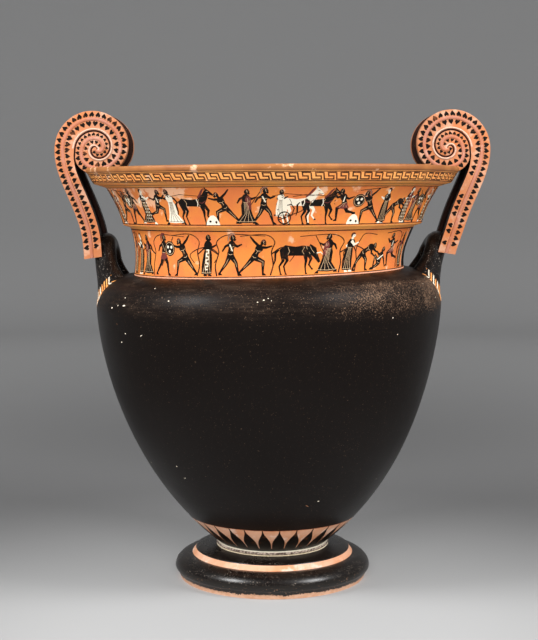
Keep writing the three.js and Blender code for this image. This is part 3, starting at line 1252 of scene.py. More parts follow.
@dataclass(frozen=True)
class Figure:
    """A painted person of no particular story."""

    stance: Stance
    dress: Dress = Dress.NUDE
    gear: tuple[Gear, ...] = ()
    white_skinned: bool = False
    width: float = 0.62

    def draw(self, brush: Brush) -> None:
        """Draws limbs, body, dress, head and gear, from back to front.

        Args:
            brush: The brush at its place.
        """
        pose = self.stance.value
        skin = Coat.WHITE if self.white_skinned else Coat.FIGURE
        covered = self.dress in (Dress.ROBE, Dress.CLOAK, Dress.WHITE_ROBE)
        for knee, heel in pose.legs:
            if not covered:
                brush.stroke([pose.hip, knee, heel], [0.070, 0.040, 0.020], skin)
            foot = [(heel[0] - 0.02, heel[1] - 0.03), (heel[0] + 0.085, heel[1] - 0.03),
                    (heel[0] + 0.07, heel[1] - 0.008), (heel[0] + 0.02, heel[1] + 0.03),
                    (heel[0] - 0.015, heel[1] + 0.03)]
            brush.fill(foot, skin)
        back, near = pose.arms
        shoulder = (pose.neck[0] - 0.005, pose.neck[1] - 0.035)
        brush.stroke([shoulder, *back], [0.036, 0.026, 0.016], skin, 0.12)
        brush.stroke([pose.neck, pose.head], [0.030, 0.026], skin, 0.15)
        self._body(brush, pose)
        brush.stroke([shoulder, *near], [0.038, 0.027, 0.016], skin, 0.20)
        self._head(brush, pose, skin)
        self._carry(brush, pose)

    def _body(self, brush: Brush, pose: Pose) -> None:
        """The trunk and what covers it.

        Args:
            brush: The brush at its place.
            pose: The figure's joints.
        """
        hip, neck = Vector(pose.hip), Vector(pose.neck)
        up = (neck - hip).normalized()
        side = Vector((up.y, -up.x))

        def at(along: float, out: float) -> Spot:
            """A point of the trunk, in shares from hip to neck and of the height sideways."""
            return tuple(hip.lerp(neck, along) + side * out)

        trunk = [at(-0.14, 0.060), at(0.08, 0.078), at(0.45, 0.060), at(0.80, 0.105),
                 at(0.98, 0.066), at(1.08, 0.028), at(1.08, -0.028), at(0.98, -0.066),
                 at(0.80, -0.092), at(0.45, -0.060), at(0.08, -0.078), at(-0.14, -0.060)]
        brush.fill(trunk)
        if self.dress is Dress.NUDE:
            brush.cut(at(0.62, -0.06), at(0.56, 0.0), at(0.66, 0.07))
            brush.cut(at(0.05, -0.045), at(-0.02, 0.0), at(0.05, 0.05))
            brush.cut(at(0.30, 0.0), at(0.56, 0.004))
            for knee, heel in pose.legs:
                thigh = Vector(pose.hip).lerp(Vector(knee), 0.45)
                shin = Vector(knee).lerp(Vector(heel), 0.35)
                brush.cut(tuple(thigh), tuple(knee), tuple(shin), width=0.004)
        elif self.dress is Dress.TUNIC:
            knees = [knee for knee, _ in pose.legs]
            low = min(knee[1] for knee in knees) * 0.45 + pose.hip[1] * 0.55
            left = min(knee[0] for knee in knees) * 0.8 - 0.05
            right = max(knee[0] for knee in knees) * 0.8 + 0.05
            skirt = [at(0.12, 0.06), at(0.12, -0.06), (left, low),
                     ((left + right) / 2, low - 0.03), (right, low)]
            brush.fill(skirt, Coat.RED, 0.19)
            for share in (0.2, 0.5, 0.8):
                hem = (right + (left - right) * share, low + 0.01)
                brush.cut(at(0.1, 0.05 - 0.1 * share), hem)
            brush.cut(at(0.16, -0.058), at(0.14, 0.0), at(0.16, 0.058))
            brush.cut(at(0.85, -0.05), at(0.5, 0.01), at(0.3, 0.05))
        else:
            self._robe(brush, pose, at)

    def _robe(self, brush: Brush, pose: Pose, at: Callable[[float, float], Spot]) -> None:
        """A long robe with its folds, and a cloak's hanging edges over it.

        Args:
            brush: The brush at its place.
            pose: The figure's joints.
            at: Finds a point of the trunk.
        """
        coat = Coat.WHITE if self.dress is Dress.WHITE_ROBE else Coat.FIGURE
        heels = [heel for _, heel in pose.legs]
        left = 0.65 * min(x for x, _ in heels) - 0.10
        right = 0.65 * max(x for x, _ in heels) + 0.09
        knee = sum(knee[0] for knee, _ in pose.legs) / 2
        robe = [at(0.96, 0.065), at(0.72, 0.105), at(0.35, 0.082), at(0.0, 0.110),
                (knee + 0.13, 0.26), (right, 0.055), ((left + right) / 2, 0.035), (left, 0.055),
                (knee - 0.14, 0.26), at(0.0, -0.110), at(0.35, -0.082), at(0.72, -0.105),
                at(0.96, -0.065)]
        brush.fill(robe, coat, 0.18)
        ink = Coat.LINE if coat is Coat.WHITE else Coat.CUT
        for share in (0.15, 0.38, 0.62, 0.85):
            foot = left + (right - left) * share
            start = at(0.28, -0.05 + 0.10 * share)
            middle = (knee - 0.08 + 0.17 * share, 0.27)
            brush.stroke([start, middle, (foot, 0.065)], 0.0048, ink, 0.26)
        brush.stroke([at(0.33, -0.06), at(0.30, 0.0), at(0.33, 0.06)], 0.006, ink, 0.26)
        brush.stroke([(left + 0.01, 0.085), ((left + right) / 2, 0.07), (right - 0.01, 0.085)],
                     0.0052, ink, 0.26)
        if Gear.DOTS in self.gear:
            for i in range(7):
                for j in range(3):
                    spot = (knee + (j - 1) * (0.055 + 0.004 * i) + (0.02 if i % 2 else 0.0),
                            0.66 - 0.085 * i)
                    brush.oval(spot, (0.015, 0.018), 0.3, Coat.WHITE, 0.27, 6)
        if self.dress is Dress.CLOAK:
            fall = [at(0.98, 0.03), at(0.80, 0.11), at(0.30, 0.13), at(-0.35, 0.15),
                    at(-0.20, 0.085), at(-0.45, 0.06), at(0.05, 0.03), at(0.60, -0.02)]
            brush.fill(fall, Coat.RED, 0.24)
            brush.cut(at(0.85, 0.07), at(0.30, 0.09), at(-0.25, 0.11))
            brush.cut(at(0.80, 0.03), at(0.25, 0.06), at(-0.30, 0.075))
        if Gear.ZIGZAG in self.gear:
            line = []
            for i in range(7):
                side = 0.028 if i % 2 else -0.028
                line += [(knee + side, 0.60 - 0.075 * i), (knee - side, 0.60 - 0.075 * i)]
            brush.stroke(line, 0.0125, Coat.WHITE, 0.27)

    def _head(self, brush: Brush, pose: Pose, skin: Coat) -> None:
        """A plain profile head with hair, and a beard on the men.

        Args:
            brush: The brush at its place.
            pose: The figure's joints.
            skin: The skin's finish. It is not used.
        """
        x, y = pose.head
        if self.white_skinned:
            brush.oval((x - 0.014, y + 0.008), (0.060, 0.064))
            brush.oval((x + 0.014, y - 0.008), (0.042, 0.047), 0.0, Coat.WHITE, 0.24)
            brush.fill([(x + 0.035, y + 0.01), (x + 0.060, y - 0.012), (x + 0.036, y - 0.02)],
                       Coat.WHITE, 0.22)
            brush.stroke([(x + 0.014, y), (x + 0.032, y)], 0.004, Coat.LINE, 0.30)
            return
        brush.oval((x, y), (0.054, 0.062))
        brush.fill([(x + 0.038, y + 0.018), (x + 0.070, y - 0.012), (x + 0.038, y - 0.028)])
        brush.oval((x - 0.034, y - 0.016), (0.034, 0.060), -0.25)
        brush.fill([(x + 0.045, y - 0.022), (x + 0.072, y - 0.052), (x + 0.040, y - 0.098),
                    (x - 0.005, y - 0.055)])
        brush.cut((x + 0.010, y + 0.006), (x + 0.030, y + 0.006), width=0.0045)
        brush.cut((x - 0.012, y + 0.046), (x - 0.006, y), (x + 0.012, y - 0.040))

    def _carry(self, brush: Brush, pose: Pose) -> None:
        """Helmet, wreath, sash, spear, staff and shield.

        Args:
            brush: The brush at its place.
            pose: The figure's joints.
        """
        x, y = pose.head
        back, near = pose.arms[0][1], pose.arms[1][1]
        if Gear.HELMET in self.gear:
            crest = [(x - 0.12, y - 0.09), (x - 0.10, y + 0.02), (x - 0.04, y + 0.085),
                     (x + 0.05, y + 0.085)]
            brush.stroke(crest, [0.012, 0.022, 0.024, 0.012], Coat.RED, 0.21)
            brush.cut(*crest, width=0.005)
        if Gear.WREATH in self.gear:
            brush.stroke([(x - 0.05, y + 0.02), (x, y + 0.035), (x + 0.042, y + 0.03)], 0.010,
                         Coat.RED, 0.24)
        if Gear.SASH in self.gear:
            neck, hip = pose.neck, pose.hip
            brush.stroke([(neck[0] - 0.05, neck[1] - 0.06), (hip[0] + 0.05, hip[1] + 0.08)], 0.014,
                         Coat.WHITE, 0.25)
        if Gear.SPEAR in self.gear:
            thrust = self.stance is Stance.LUNGE
            aim = Vector((1.0, -0.12) if thrust else (0.55, 0.85)).normalized()
            hand = Vector(back if thrust else near)
            behind, ahead = (0.22, 0.55) if thrust else (0.60, 0.22)
            shaft = (hand - aim * behind, hand, hand + aim * ahead)
            brush.stroke([tuple(spot) for spot in shaft], 0.0085, Coat.FIGURE, 0.14)
        if Gear.STAFF in self.gear:
            brush.stroke([(near[0], 0.02), (near[0] + 0.004, 0.5), (near[0] - 0.004, 0.97)], 0.008,
                         Coat.FIGURE, 0.14)
        if Gear.SHIELD in self.gear:
            centre = (near[0] - 0.03, near[1] - 0.10)
            brush.oval(centre, (0.165, 0.175), 0.0, Coat.FIGURE, 0.27, 20)
            brush.ring(centre, 0.142, 0.006, Coat.CUT, 0.34)
            for turn in range(3):
                ball = polar(centre, 0.068, 0.5 + turn * FULL_TURN / 3)
                brush.oval(ball, (0.036, 0.036), 0.0, Coat.WHITE, 0.36, 10)


@dataclass(frozen=True)
class Beast:
    """A painted horse, or a bull if it is heavy."""

    heavy: bool = False
    white: bool = False
    harness: bool = False
    width: float = 0.92

    def draw(self, brush: Brush) -> None:
        """Draws legs, trunk, neck, head, mane and tail.

        Args:
            brush: The brush at its place.
        """
        coat = Coat.WHITE if self.white else Coat.FIGURE
        ink = Coat.LINE if self.white else Coat.CUT
        girth = 1.25 if self.heavy else 1.0
        for hip, knee, hock, hoof in (
            ((-0.33, 0.50), (-0.30, 0.33), (-0.38, 0.20), (-0.34, 0.02)),
            ((-0.27, 0.50), (-0.20, 0.34), (-0.27, 0.20), (-0.22, 0.02)),
            ((0.22, 0.50), (0.26, 0.32), (0.25, 0.18), (0.27, 0.02)),
            ((0.27, 0.52), (0.38, 0.36), (0.34, 0.22), (0.42, 0.12)),
        ):
            brush.stroke([hip, knee, hock, hoof], [0.058, 0.034, 0.019, 0.014], coat)
            brush.fill([(hoof[0] - 0.02, hoof[1] - 0.02), (hoof[0] + 0.04, hoof[1] - 0.02),
                        (hoof[0] + 0.015, hoof[1] + 0.02), (hoof[0] - 0.015, hoof[1] + 0.02)])
        trunk = [(-0.40, 0.55), (-0.28, 0.58), (-0.05, 0.56), (0.15, 0.57), (0.32, 0.60)]
        brush.stroke(trunk, [0.055, 0.105 * girth, 0.088 * girth, 0.102 * girth, 0.07], coat, 0.16)
        brush.stroke([(-0.43, 0.60), (-0.50, 0.52), (-0.49, 0.34), (-0.52, 0.22)],
                     [0.020, 0.024, 0.020, 0.006], Coat.FIGURE, 0.17)
        if self.heavy:
            neck, neck_widths = [(0.26, 0.62), (0.40, 0.56), (0.48, 0.44)], [0.12, 0.095, 0.06]
            head, head_widths = [(0.46, 0.47), (0.56, 0.33), (0.60, 0.27)], [0.062, 0.040, 0.028]
            brush.stroke(neck, neck_widths, coat, 0.19)
            brush.stroke(head, head_widths, coat, 0.2)
            brush.stroke([(0.50, 0.50), (0.60, 0.52), (0.66, 0.46)], [0.014, 0.011, 0.004],
                         Coat.WHITE, 0.24)
            brush.cut((0.20, 0.70), (0.26, 0.58), (0.34, 0.48))
            brush.cut((0.30, 0.68), (0.37, 0.58), (0.44, 0.50))
        else:
            neck, neck_widths = [(0.24, 0.62), (0.36, 0.76), (0.42, 0.90)], [0.11, 0.075, 0.045]
            head, head_widths = [(0.40, 0.92), (0.50, 0.84), (0.57, 0.77)], [0.045, 0.034, 0.022]
            brush.stroke(neck, neck_widths, coat, 0.19)
            brush.stroke(head, head_widths, coat, 0.2)
            brush.fill([(0.37, 0.93), (0.40, 1.0), (0.43, 0.94)], coat, 0.21)
            mane = [(0.16, 0.70), (0.25, 0.80), (0.31, 0.90), (0.36, 0.96)]
            brush.stroke(mane, [0.016, 0.026, 0.024, 0.012], Coat.RED, 0.25)
            brush.stroke([(0.42, 0.89), (0.47, 0.88)], 0.006, ink, 0.27)
        brush.stroke([(-0.22, 0.66), (-0.17, 0.56), (-0.20, 0.48)], 0.0055, ink, 0.26)
        brush.stroke([(0.18, 0.66), (0.13, 0.56), (0.19, 0.48)], 0.0055, ink, 0.26)
        if self.harness:
            brush.stroke([(0.12, 0.675), (0.14, 0.56), (0.11, 0.47)], 0.010, Coat.WHITE, 0.28)
            brush.stroke([(0.14, 0.58), (0.26, 0.56), (0.36, 0.63)], 0.008, Coat.RED, 0.28)
            brush.stroke([(0.56, 0.80), (0.30, 0.74), (-0.30, 0.80), (-0.62, 0.74)], 0.006,
                         Coat.LINE, 0.28)


@dataclass(frozen=True)
class Chariot:
    """A light two-wheeled chariot with its driver in white, seen from the side."""

    width: float = 0.66

    def draw(self, brush: Brush) -> None:
        """Draws the driver, the body of the chariot and one wheel with four spokes.

        Args:
            brush: The brush at its place.
        """
        driver = Brush(brush.slip, brush.x - brush.facing * 0.10 * brush.height,
                       brush.ground + 0.17 * brush.height, brush.height * 0.80, brush.facing)
        Figure(Stance.STAND, Dress.WHITE_ROBE).draw(driver)
        brush.stroke([(-0.26, 0.24), (0.20, 0.24)], 0.016, Coat.FIGURE, 0.24)
        brush.stroke([(0.19, 0.24), (0.24, 0.42), (0.16, 0.53), (0.06, 0.50)], 0.013,
                     Coat.FIGURE, 0.24)
        brush.stroke([(0.18, 0.25), (0.40, 0.33), (0.60, 0.50)], 0.010, Coat.FIGURE, 0.2)
        hub = (0.0, 0.17)
        brush.ring(hub, 0.155, 0.015, Coat.FIGURE, 0.30, 24)
        for turn in range(4):
            rim = polar(hub, 0.15, 0.35 + turn * FULL_TURN / 4)
            brush.stroke([hub, rim], [0.014, 0.008], Coat.FIGURE, 0.31)
        brush.oval(hub, (0.03, 0.03), 0.0, Coat.FIGURE, 0.36, 10)


@dataclass(frozen=True)
class Mound:
    """A low white mound with dark spots."""

    width: float = 0.20

    def draw(self, brush: Brush) -> None:
        """Draws the mound and its spots.

        Args:
            brush: The brush at its place.
        """
        brush.fill([(-0.19, -0.01), (0.19, -0.01), (0.16, 0.08), (0.10, 0.19), (0.03, 0.24),
                    (-0.05, 0.23), (-0.12, 0.16), (-0.17, 0.07)], Coat.WHITE, 0.22)
        brush.oval((-0.07, 0.08), (0.035, 0.028), 0.2, Coat.FIGURE, 0.30, 10)
        brush.oval((0.09, 0.06), (0.028, 0.036), 0.3, Coat.FIGURE, 0.30, 10)


@dataclass(frozen=True)
class Vine:
    """A branch that springs from the ground and arches over the field."""

    reach: float
    width: float = 0.10

    def draw(self, brush: Brush) -> None:
        """Draws the stem and a side shoot, both thinner towards the tip.

        Args:
            brush: The brush at its place.
        """
        r = self.reach
        stem = flowing([Vector(s) for s in ((0, 0), (-0.05, 0.25), (0.02, 0.55), (-0.03, 0.80),
                                            (0.3 * r, 0.97), (1.1 * r, 0.93))], 4)
        shoot = flowing([Vector(s) for s in ((0.01, 0.50), (-0.35 * r, 0.66), (-0.75 * r, 0.50),
                                             (-0.62 * r, 0.30))], 4)
        for line in (stem, shoot):
            widths = [0.017 - 0.009 * i / len(line) for i in range(len(line))]
            brush.stroke([tuple(spot) for spot in line], widths, Coat.LINE, 0.10)


@dataclass(frozen=True)
class Dashes:
    """A short row of strokes between the figures, which spells nothing."""

    width: float = 0.10

    def draw(self, brush: Brush) -> None:
        """Draws the strokes one above the other.

        Args:
            brush: The brush at its place.
        """
        for i in range(5):
            y = 0.86 - 0.085 * i
            lean = 0.018 if i % 2 else -0.014
            brush.stroke([(-0.016, y + lean), (0.018, y - lean)], 0.0075, Coat.LINE)


Subject = Union[Figure, Beast, Chariot, Mound, Vine, Dashes]


@dataclass(frozen=True)
class Frieze:
    """A row of subjects on one band of the neck, spread evenly over part of its round."""

    name: str
    ground: float
    height: float
    radius: float
    seed: int = 12

    def paint(self, line: Line, scenes: Sequence[tuple[Spot, str]]) -> None:
        """Paints some scenes.

        Args:
            line: The band's profile.
            scenes: Each scene's first and last angle from the front, in degrees, and its cast: a
                sign for the way each subject faces and the subject's mark, with spaces between.
        """
        slip = SlipWork(Wall(line, self.radius).place, cut=9)
        hand = random.Random(self.seed)
        for (start, end), marks in scenes:
            cast = [(1 if mark[0] == ">" else -1, CAST[mark[1:]]) for mark in marks.split()]
            reach = math.radians(end - start) * self.radius
            slack = (reach / self.height - sum(subject.width for _, subject in cast)) / len(cast)
            log.info("%s: %d subjects, %.2f between them", self.name, len(cast), slack)
            x = math.radians(start) * self.radius
            for facing, subject in cast:
                share = (subject.width + slack) * self.height
                size = self.height * hand.uniform(0.97, 1.01)
                subject.draw(Brush(slip, x + share / 2, self.ground, size, facing))
                x += share
        slip.piece(self.name)


# Who stands on the friezes. Each scene names its subjects from left to right.

ARMS = (Gear.HELMET, Gear.SPEAR, Gear.SHIELD)

CAST: dict[str, Subject] = {
    "warrior": Figure(Stance.STRIDE, Dress.TUNIC, ARMS, width=0.60),
    "fighter": Figure(Stance.LUNGE, Dress.NUDE, ARMS, width=0.78),
    "runner": Figure(Stance.RUN, Dress.NUDE, (Gear.WREATH, Gear.SASH)),
    "lunger": Figure(Stance.LUNGE, Dress.NUDE, (Gear.WREATH,), width=0.70),
    "strider": Figure(Stance.STRIDE, Dress.NUDE, (Gear.HELMET, Gear.SASH), width=0.52),
    "elder": Figure(Stance.STAND, Dress.CLOAK, (Gear.STAFF, Gear.WREATH), width=0.44),
    "woman": Figure(Stance.STAND, Dress.ROBE, (Gear.WREATH,), True, width=0.38),
    "dancer": Figure(Stance.STRIDE, Dress.ROBE, (Gear.DOTS,), True, width=0.58),
    "dotted": Figure(Stance.STAND, Dress.CLOAK, (Gear.DOTS,), True, width=0.44),
    "banded": Figure(Stance.STAND, Dress.ROBE, (Gear.ZIGZAG,), width=0.44),
    "priest": Figure(Stance.STRIDE, Dress.WHITE_ROBE, (Gear.WREATH,), width=0.54),
    "seated": Figure(Stance.SIT, Dress.CLOAK, (Gear.STAFF,), width=0.56),
    "wrestler": Figure(Stance.BEND, width=0.60),
    "fallen": Figure(Stance.CROUCH, Dress.NUDE, (Gear.SASH,), width=0.46),
    "boy": Figure(Stance.RUN, Dress.TUNIC, (Gear.SASH,), width=0.60),
    "cloaked": Figure(Stance.STRIDE, Dress.CLOAK, (Gear.SPEAR,), width=0.54),
    "horse": Beast(harness=True),
    "grey": Beast(white=True, harness=True, width=0.16),
    "bull": Beast(heavy=True, width=1.06),
    "chariot": Chariot(),
    "mound": Mound(),
    "vine": Vine(0.7),
    "shoot": Vine(-0.5),
    "arch": Vine(1.0, width=0.12),
    "dashes": Dashes(),
}

UPPER = (
    ((-94, 0), ">cloaked <woman >elder <strider >dotted >fighter <dashes <warrior >dancer "
               ">runner <priest >horse >mound <lunger >cloaked >strider"),
    ((0, 94), ">chariot >grey >horse <dashes <boy >mound <fighter <woman >wrestler >dotted "
              "<cloaked <warrior <dancer <elder >strider <seated"),
    ((94, 180), ">woman >fighter <dashes <warrior >dotted >runner <elder >horse >mound <lunger "
                ">strider <cloaked >dancer <priest"),
    ((180, 266), ">boy <woman >warrior <horse <grey <chariot <dashes <fighter >elder >mound "
                 "<strider <dotted <dancer <cloaked"),
)

LOWER = (
    ((-77.5, 72), ">elder >shoot <woman <cloaked >arch >warrior >dashes <lunger <vine >banded "
                  ">arch >strider >lunger <vine >bull <cloaked <arch >woman <shoot >wrestler "
                  "<fallen <boy <vine <elder"),
    ((103, 257), ">woman >vine >warrior <fighter <shoot >elder >seated <arch <dotted >vine >bull "
                 "<lunger <vine <banded >runner >dashes <strider <arch >wrestler <fallen <elder"),
)


@dataclass(frozen=True)
class SidePanels:
    """The black ground of the lower neck under the handles, with an upright line at each end."""

    spans: tuple[Spot, ...] = ((73.5, 101), (259, 281))
    radius: float = 175.0
    bottom: float = 2.7
    top_gap: float = 1.8
    half_line: float = 0.9

    def paint(self, pot: Pot) -> None:
        """Brushes each panel and then the two lines that close it.

        Args:
            pot: The pot it lies on.
        """
        line = pot.low_neck_line()
        slip = SlipWork(Wall(line, self.radius).place, cut=9)
        low, high = self.bottom, line.length - self.top_gap
        for span in self.spans:
            left, right = (math.radians(angle) * self.radius for angle in span)
            slip.brush([(left, low), (right, low), (right, high), (left, high)], Coat.PLAIN, 0.10)
            for x in (left - self.half_line, right + self.half_line):
                upright = stroke([(x, low), (x, high)], [self.half_line] * 2)
                slip.brush(upright, Coat.CREAM_AND_HIGHLIGHT, 0.16)
        slip.piece("neck_side_panels")


# The handles

@dataclass(frozen=True)
class Band:
    """What a flange's decorated band carries, measured in from its outer edge."""

    strap_rows: tuple[float, float, float]
    coil_rows: tuple[float, float, float]


@dataclass(frozen=True)
class Handle:
    """A volute handle: a flanged strap that springs from a stirrup and curls over the rim."""

    side: int
    band: Band
    name: str
    strap: tuple[Spot, ...] = ((223.4, 416.5), (234, 488), (265, 512.5), (263.15, 553.5))
    eye: Spot = (222.7, 553.5)
    radius: float = 51.7
    width: float = 22.5
    half_depth: float = 42.0
    flange: float = 13.0
    recess: float = 5.0
    half_core: float = 30.0
    band_depth: float = 1.8
    slit_start: float = 0.84
    slit_turn: float = 0.965
    last_turn: float = 2.26
    groove: float = 1.1
    winding_eye: Spot = (221.4, 552.2)
    winding_radius: float = 27.1
    winding_pitch: float = 21.1
    outline_steps: tuple[int, int, int] = (30, 96, 26)
    band_steps: tuple[int, int] = (40, 200)
    leaf_start: float = 0.065
    leaf_end: float = 0.93
    leaf_sizes: Spot = (7.1, 4.6)
    leaf_pitches: Spot = (7.7, 5.4)
    throat: tuple[float, float, float] = (208, 470, 528)
    tube: float = 13.5
    tube_sides: int = 28
    flare: tuple[float, float, float, float] = (16, 414, 29, 1.35)
    tongue_pitch: float = 3.0
    tongue_turn: float = 112
    tongue_widths: tuple[float, float, float] = (0.95, 0.85, 0.7)
    root: tuple[tuple[float, float, float], ...] = (
        (204, -31, 366), (204.5, -31, 386), (206.5, -30.5, 403), (209.5, -26, 418),
        (212.5, -14, 429), (213.5, 0, 432),
    )

    def _strap(self, along: float, out: float) -> Vector:
        """A point of the strap.

        Args:
            along: 0 to 1 up the strap.
            out: How far off its middle line.

        Returns:
            The point, in X and Z.
        """
        a, b, c, d = (Vector(knot) for knot in self.strap)
        t, s = along, 1 - along
        point = s ** 3 * a + 3 * s * s * t * b + 3 * s * t * t * c + t ** 3 * d
        run = (s * s * (b - a) + 2 * s * t * (c - b) + t * t * (d - c)).normalized()
        return point + Vector((run.y, -run.x)) * out

    def _wound(self, turn: float) -> Vector:
        """The volute's inner line: the groove between the windings, down to the eye."""
        reach = max(0.0, self.winding_radius - self.winding_pitch * (turn - 1))
        return Vector(self.winding_eye) + heading(FULL_TURN * turn) * reach

    def edges(self, along: float) -> tuple[Vector, Vector]:
        """The band's outer and inner edges.

        Args:
            along: 0 to 1 up the strap, then 1 more for each turn of the coil.

        Returns:
            Both edge points, in X and Z.
        """
        if along >= 1:
            turn = along - 1
            reach = self.radius - self.width * turn
            rim = Vector(self.eye) + heading(FULL_TURN * turn) * reach
            outer = rim.lerp(self._wound(turn), smoothstep(turn, 0.85, 1.0))
            return outer, self._wound(turn + 1)
        half = self.width / 2
        spread = (self._strap(1.0, -half) - self._wound(1.0)).length
        reach = half + spread * smoothstep(along, 0.72, 1.0)
        return self._strap(along, half), self._strap(along, -reach)

    def room(self, along: float) -> float:
        """How wide the band is there."""
        outer, inner = self.edges(along)
        return (inner - outer).length

    def flat(self, along: float, inward: float) -> Spot:
        """The point of the side view so far in from the band's outer edge."""
        outer, inner = self.edges(along)
        return tuple(outer + (inner - outer).normalized() * inward)

    def outline(self, inset: float) -> list[Spot]:
        """The side view's outline: up the strap, round the coil and down the inner edge.

        Args:
            inset: How far inside the flange's edge it runs.

        Returns:
            The corners.
        """
        rise, turns, fall = self.outline_steps
        half = self.width / 2 - inset
        up = [self._strap(i / rise, half) for i in range(rise)]
        coil = []
        for i in range(turns + 1):
            turn = self.slit_turn * i / turns
            reach = self.radius - self.width * turn - inset
            coil.append(polar(self.eye, reach, FULL_TURN * turn))
        down = [self._strap(self.slit_start * (1 - i / fall), -half) for i in range(fall + 1)]
        return up + coil + down

    def place(self, spot: Vector, face: int) -> Vector:
        """A point of the side view in space, off the front flange's face (-1) or the back's."""
        return self.trim(Vector((spot.x, face * (self.half_depth + spot.z), spot.y)))

    def trim(self, point: Vector) -> Vector:
        """Keeps a point on the handle's own side and out of the mouth.

        Args:
            point: A point of the right handle.

        Returns:
            Its place.
        """
        mouth, low, high = self.throat
        if math.hypot(point.x, point.y) < mouth and low < point.z < high:
            point.z = high
        return Vector((self.side * point.x, point.y, point.z))

    def rows(self, along: float) -> list[float]:
        """The outer leaf row, the ridge and the inner leaf row there.

        Args:
            along: As for the edges.

        Returns:
            How far in each of them runs.
        """
        share = smoothstep(along, 0.55, 1.1)
        drawn_in = 1 - 0.13 * smoothstep(along, 1.3, 1.55)
        return [(a + (b - a) * share) * drawn_in
                for a, b in zip(self.band.strap_rows, self.band.coil_rows)]

    def section(self, along: float) -> list[Spot]:
        """The raised band's section.

        Args:
            along: As for the edges.

        Returns:
            How far in each corner is, and how high off the face.
        """
        outer = 0.9 * smoothstep(along, 1.90, 1.97)
        room = self.room(along)
        inner = room - self.groove * smoothstep(along, 0.80, 0.90)
        _, ridge, _ = self.rows(along)
        bead = smoothstep(along, 0.98, 1.12) * (1 - smoothstep(along, 2.05, 2.2))
        corners = [
            (outer, -3), (outer, -0.9), (outer + 0.35, -0.25), (outer + 1, 0),
            (ridge - 2.3, 0), (ridge - 1.8, 0.5), (ridge - 0.8, 0.75), (ridge, 0.8),
            (ridge + 0.8, 0.75), (ridge + 1.8, 0.5), (ridge + 2.3, 0),
            (inner - 3, 0), (inner - 2.5, 0.8 * bead), (inner - 1.5, 1.2 * bead),
            (inner - 0.6, 0.8 * bead), (inner - 0.1, 0), (inner, -3),
        ]
        section, last = [], outer
        for i, (inward, height) in enumerate(corners):
            limit = max(0.05, room - 0.02 * (len(corners) - i))
            on_ridge = 3 < i < 11
            fade = smoothstep(room - inward, 0.0, 2.5) if on_ridge else smoothstep(room, 4.0, 9.0)
            last = max(last if i else 0.0, min(inward, limit))
            section.append((last, height * fade if height > 0 else height))
        return section

    def build_flanges(self) -> None:
        """Both flanges: a plain slab under the raised band that winds into the volute."""
        coats = [Coat.FLANGE, Coat.EDGE, Coat.REDLINE, Coat.RIDGE, Coat.CREAM_AND_HIGHLIGHT]
        ground, dark, flank, crest, bead = range(5)
        bm = bmesh.new()
        outline = self.outline(0)
        outer_side = sum(self.outline_steps[:2]) + 1
        edge = [ground if i < outer_side else dark for i in range(len(outline))]
        paint = [ground] * 4 + [flank, crest, crest, crest, crest, flank, ground]
        # The beads round the coils are painted cream: a painted highlight on their rounded edge.
        edged = paint + [crest, bead, bead, crest, flank, ground]
        plain = paint + [ground] * 4 + [dark, ground]
        rise, turns = self.band_steps
        strap = [i / rise for i in range(rise + 1)]
        coil = [1 + self.last_turn * i / turns for i in range(turns + 1)]
        for face in (-1, 1):
            depths = (face * (self.half_depth - self.flange),
                      face * (self.half_depth - self.band_depth))
            slab(bm, outline, depths, edge, dark)
            for stops, coats_round in ((strap, plain), (coil, edged)):
                sections = [[self._flange_point(along, corner, face)
                             for corner in self.section(along)] for along in stops]
                sweep(bm, sections, coats_round, ground)
        self._finish(bm, "flanges", coats)

    def _finish(self, bm: BMesh, part: str, coats: Sequence[Coat]) -> None:
        """Trims a mesh to the handle's own side and finishes it as a piece.

        Args:
            bm: The mesh. It is freed.
            part: The end of the piece's name.
            coats: Its finishes.
        """
        for vert in bm.verts:
            vert.co = self.trim(vert.co)
        finish_piece(bm, f"{self.name}_{part}", coats, 40)

    def _flange_point(self, along: float, corner: Spot, face: int) -> Vector:
        """One corner of the band's section in space, before it is trimmed."""
        x, z = self.flat(along, corner[0])
        return Vector((x, face * (self.half_depth + corner[1]), z))

    def build_core(self) -> None:
        """The recessed web between the flanges and the stirrup below it."""
        bm = bmesh.new()
        outline = self.outline(self.recess)
        slab(bm, outline, (-self.half_core, self.half_core), [0] * len(outline))
        half = flowing([Vector(knot) for knot in self.root], 5)
        path = half + [Vector((p.x, -p.y, p.z)) for p in half[-2::-1]]
        sections = []
        for i, point in enumerate(path):
            run = (path[min(i + 1, len(path) - 1)] - path[max(i - 1, 0)]).normalized()
            out = (Vector((1, 0, 0)) - run * run.x).normalized()
            across = run.cross(out)
            ring = []
            for k in range(self.tube_sides):
                angle = FULL_TURN * k / self.tube_sides
                corner = point + (out * math.cos(angle) + across * math.sin(angle)) * self.tube
                ring.append(self._flare(corner))
            sections.append(ring)
        sweep(bm, sections, [1] * self.tube_sides, 1)
        self._finish(bm, "core", [Coat.PLAIN, Coat.ROOT])

    def _flare(self, point: Vector) -> Vector:
        """Spreads the foot of the stirrup inwards over the shoulder.

        Args:
            point: A point of the stirrup.

        Returns:
            The same point, moved.
        """
        spread, top, drop, power = self.flare
        share = min(1.0, max(0.0, (self.root[0][0] - point.x) / self.tube))
        point.x -= spread * share * (max(0.0, top - point.z) / drop) ** power
        return point

